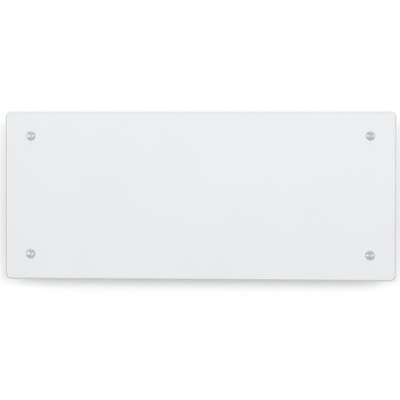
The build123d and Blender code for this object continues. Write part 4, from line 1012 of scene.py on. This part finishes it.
def grille_ribs(recipe, middle, foot, width):
    """Cross ribs, a little thinner at their foot, as they leave the mould."""
    size = recipe.size
    block = recipe.vector(size["Rib_thickness"], width, size["Rib_height"])
    x, y, z = recipe.place()
    draft = recipe.math("MULTIPLY_ADD", recipe.math("DIVIDE", z, size["Rib_height"]), 0.3, 0.85)
    rib = recipe.moved(recipe.add("GeometryNodeMeshCube", Size=block), recipe.math("MULTIPLY", x, draft), y,
                       recipe.math("MULTIPLY_ADD", size["Rib_height"], 0.5, z))
    places = recipe.row(size["Ribs"], middle.x, middle.y, foot, step_x=size["Rib_pitch"])
    return recipe.add("GeometryNodeInstanceOnPoints", Instance=rib, Points=places)


def grille_hooks(recipe, middle, height, width):
    """Snap hooks on both long walls: wedges that spread towards the top and point outwards."""
    size = recipe.size
    x, y, z = recipe.place()
    block = recipe.vector(size["Hook_length"], size["Hook_reach"], size["Hook_height"])
    spread = recipe.math("MULTIPLY_ADD", recipe.math("GREATER_THAN", z, 0.0), 0.95, 0.05)
    reach = recipe.math("MULTIPLY", recipe.math("MULTIPLY_ADD", size["Hook_reach"], 0.5, y), spread)
    hook = recipe.moved(recipe.add("GeometryNodeMeshCube", Size=block), x, reach, z)
    row_length = recipe.math("MULTIPLY", size["Hook_pitch"], recipe.math("SUBTRACT", size["Hooks"], 1.0))
    grid = recipe.add("GeometryNodeMeshGrid", Size_X=row_length, Size_Y=width, Vertices_X=size["Hooks"],
                      Vertices_Y=2)
    facing = recipe.math("MULTIPLY", recipe.math("LESS_THAN", recipe.place()["Y"], 0.0), math.pi)
    turn = recipe.add("FunctionNodeEulerToRotation", Euler=recipe.vector(0.0, 0.0, facing))
    hooks = recipe.add("GeometryNodeInstanceOnPoints", Points=grid, Instance=hook, Rotation=turn)
    return recipe.add("GeometryNodeTransform", Geometry=hooks, Translation=(middle.x, middle.y, height))


def outlet_grille():
    """A moulded frame with curved blades along it, cross ribs under them and snap hooks on its walls."""
    node = "outlet_grille"
    low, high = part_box(node)
    middle = middle_of(node)
    length, width = high.x - low.x - 2 * grille_wall_inside, high.y - low.y - 2 * grille_wall_inside
    recipe = Recipe(
        "curved_blade_grille", Blades=5, Pitch=width / 5.5, Length=length + grille_wall, Middle=middle.x,
        Foot=low.z, Rise=high.z - low.z, First_root=-middle.y - 3.2 * mm, Root=1.4 * mm, Tip=0.9 * mm,
        Lean=5.0 * mm, Bow=1.2 * mm, Ribs=11, Rib_pitch=43 * mm, Rib_height=7.2 * mm,
        Rib_thickness=1.4 * mm, Hooks=5, Hook_pitch=(length + 2 * grille_wall) / 5, Hook_length=10 * mm,
        Hook_reach=1.1 * mm, Hook_height=4 * mm,
    )
    blades = grille_blades(recipe)
    ribs = grille_ribs(recipe, middle, low.z, width + grille_wall)
    hooks = grille_hooks(recipe, middle, high.z - 4.6 * mm, width + 2 * grille_wall)
    whole = recipe.joined(recipe.base, blades, ribs, hooks)
    mesh = recipe.grow(whole, "outlet_grille_blades", finishes["grille_plastic"], grille_frame(low, high))
    take_over(node, mesh)


outlet_grille()


# Control pod


def bar_outline(x, y, length, width):
    """A straight stroke with clipped corners, round its middle."""
    a, b, c = length / 2, width / 2, 0.25 * min(length, width)
    corners = ((a - c, -b), (a, -b + c), (a, b - c), (a - c, b),
               (-a + c, b), (-a, b - c), (-a, -b + c), (-a + c, -b))
    return [(x + u, y + v) for u, v in corners]


def arc_outline(x, y, radius, width, start, end, steps=20):
    """A stroke along a part of a circle, between two angles in degrees."""
    turns = [math.radians(start + (end - start) * i / steps) for i in range(steps + 1)]
    outside, inside = radius + width / 2, radius - width / 2
    outer = [(x + outside * math.cos(a), y + outside * math.sin(a)) for a in turns]
    inner = [(x + inside * math.cos(a), y + inside * math.sin(a)) for a in turns]
    return outer + inner[::-1]


def key(name, strokes):
    """A key with a soft edge, a hollow top for the finger, a collar and stem inside, and a raised mark."""
    node = f"button_{name}"
    low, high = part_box(node)
    middle = middle_of(node)
    collar = high.z - 3.4 * mm
    build = bmesh.new()
    soft_edge = [(1.5, -0.95), (1.55, -0.6), (1.72, -0.3), (2.05, -0.08), (2.6, 0.0)]
    hollow = [(3.6, -0.06), (4.6, -0.17), (5.7, -0.26)]
    profile = [(0.0, collar - 1.0 * mm), (0.0, collar), (1.5 * mm, collar)]
    profile += [(inset * mm, high.z + drop * mm) for inset, drop in soft_edge + hollow]
    level_form(build, (low.x, low.y), (high.x, high.y), 4.5 * mm, profile)
    stem = collar - 0.8 * mm - low.z
    bmesh.ops.create_cone(build, cap_ends=True, segments=24, radius1=1.5 * mm, radius2=1.6 * mm, depth=stem,
                          matrix=Matrix.Translation((middle.x, middle.y, low.z + stem / 2)))
    take_over(node, finished(build, f"{node}_cap"))
    build = bmesh.new()
    for outline in strokes:
        prism(build, outline, middle, high.z - 0.6 * mm, high.z - 0.13 * mm)
    new_piece(f"{node}_mark", finished(build, f"{node}_mark"), body_of[node], "pod_tray_plastic")


def lit_display():
    """Two digits, a degree ring and a C under the lens, with the strokes that are off just showing."""
    middle = middle_of("display_module")
    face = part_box("display_module")[1].z
    foot, top = face - 0.1 * mm, face + 0.15 * mm
    width, height, stroke, gap = 4.2, 7.6, 0.85, 0.35
    places = {
        "a": (0, height / 2, width, True), "g": (0, 0, width, True), "d": (0, -height / 2, width, True),
        "f": (-width / 2, height / 4, height / 2, False), "b": (width / 2, height / 4, height / 2, False),
        "e": (-width / 2, -height / 4, height / 2, False), "c": (width / 2, -height / 4, height / 2, False),
    }
    builds = {True: bmesh.new(), False: bmesh.new()}
    for offset, lit in ((-10.5, "abged"), (-3.5, "bc"), (9.5, "afed")):
        for segment, (x, y, length, lies) in places.items():
            size = (length - stroke - gap, stroke) if lies else (stroke, length - stroke - gap)
            prism(builds[segment in lit], bar_outline(offset + x, y, *size), middle, foot, top)
    for start in (0, 180):
        half_ring = arc_outline(3.6, 3.0, 0.95, 0.55, start, start + 180, 10)
        prism(builds[True], half_ring, middle, foot, top)
    for lit, name, material in ((True, "display_strokes_lit", lit_strokes),
                                (False, "display_strokes_off", dark_strokes)):
        new_piece(name, finished(builds[lit], name), "heater", "display_plastic", material)


take_over("pod_cover", softened("pod_cover", 0.25 * mm))
key("minus", [bar_outline(0, 0, 4.8, 0.9)])
key("plus", [bar_outline(0, 0, 4.8, 0.9), bar_outline(0, 0, 0.9, 4.8)])
key("mode", [arc_outline(0, 0, 2.2, 0.7, 0, 180), arc_outline(0, 0, 2.2, 0.7, 180, 360),
             bar_outline(0, 0.55, 0.6, 1.7), bar_outline(0.5, 0, 1.6, 0.6)])
lit_display()


# Mains switch and cable entry


def laid_on(surface, build, outline, origin, along, up, proud, sunk):
    """A thin mark that follows a surface: each point is dropped on it, across the mark's own plane."""
    towards = up.cross(along)
    rings = [[], []]
    for a, b in outline:
        spot = surface.ray_cast(origin + along * a * mm + up * b * mm, towards)[0]
        rings[0].append(build.verts.new(spot - towards * proud))
        rings[1].append(build.verts.new(spot + towards * sunk))
    bridged(build, rings[0], rings[1])
    build.faces.new(rings[0])
    build.faces.new(rings[1])


def rocker_marks():
    """The strokes for on and off, let into the rocker's two faces."""
    node = frame["nodes"]["switch_rocker"]
    surface = BVHTree.FromPolygons([vert.co for vert in node.data.vertices],
                                   [face.vertices for face in node.data.polygons])
    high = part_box("switch_rocker")[1]
    middle = middle_of("switch_rocker")
    build = bmesh.new()
    shapes = [(4.2, bar_outline(0, 0, 0.9, 4.4)), (-4.2, arc_outline(0, 0, 1.8, 0.7, 0, 180)),
              (-4.2, arc_outline(0, 0, 1.8, 0.7, 180, 360))]
    for offset, outline in shapes:
        origin = Vector((high.x + 5 * mm, middle.y, middle.z + offset * mm))
        laid_on(surface, build, outline, origin, Vector((0, 1, 0)), Vector((0, 0, 1)), 0.05 * mm, 0.3 * mm)
    new_piece("switch_rocker_marks", finished(build, "switch_rocker_marks"), "rocker", "white_nylon")


def cable_gland():
    """The gland: a hexagon, and a clamping dome with grip ribs round it."""
    node = "cable_gland"
    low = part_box(node)[0]
    middle = middle_of(node)
    recipe = Recipe("gland_grip", Ribs=20, Ring=8.32 * mm, Rib_width=1.15 * mm, Rib_length=7.0 * mm)
    size = recipe.size
    ball = recipe.add("GeometryNodeMeshUVSphere", Segments=8, Rings=7, Radius=0.5)
    rib = recipe.add("GeometryNodeTransform", Geometry=ball,
                     Scale=recipe.vector(size["Rib_width"], size["Rib_width"], size["Rib_length"]))
    circle = recipe.add("GeometryNodeMeshCircle", Vertices=size["Ribs"], Radius=size["Ring"])
    ring = recipe.add("GeometryNodeTransform", Geometry=circle,
                      Translation=(middle.x, middle.y, low.z + 6.0 * mm))
    ribs = recipe.add("GeometryNodeInstanceOnPoints", Points=ring, Instance=rib)
    whole = recipe.joined(recipe.base, ribs)
    body = softened(node, 0.25 * mm)
    take_over(node, recipe.grow(whole, "cable_gland_ribbed", finishes["gland_plastic"], body))
    seal = [(2.6, -4.0), (2.6, -0.6), (2.9, -0.3), (3.6, -0.3), (3.98, -0.7), (3.98, -4.0), (2.6, -4.0)]
    mesh = turned_mesh("gland_seal", [(radius * mm, -drop * mm) for radius, drop in seal], 40)
    mesh.transform(Matrix.Translation((middle.x, middle.y, low.z)))
    new_piece("gland_seal", mesh, "heater", "black_rubber")


take_over("switch_frame", softened("switch_frame", 0.3 * mm))
rocker_marks()
take_over("switch_rocker", softened("switch_rocker", 0.35 * mm))
cable_gland()
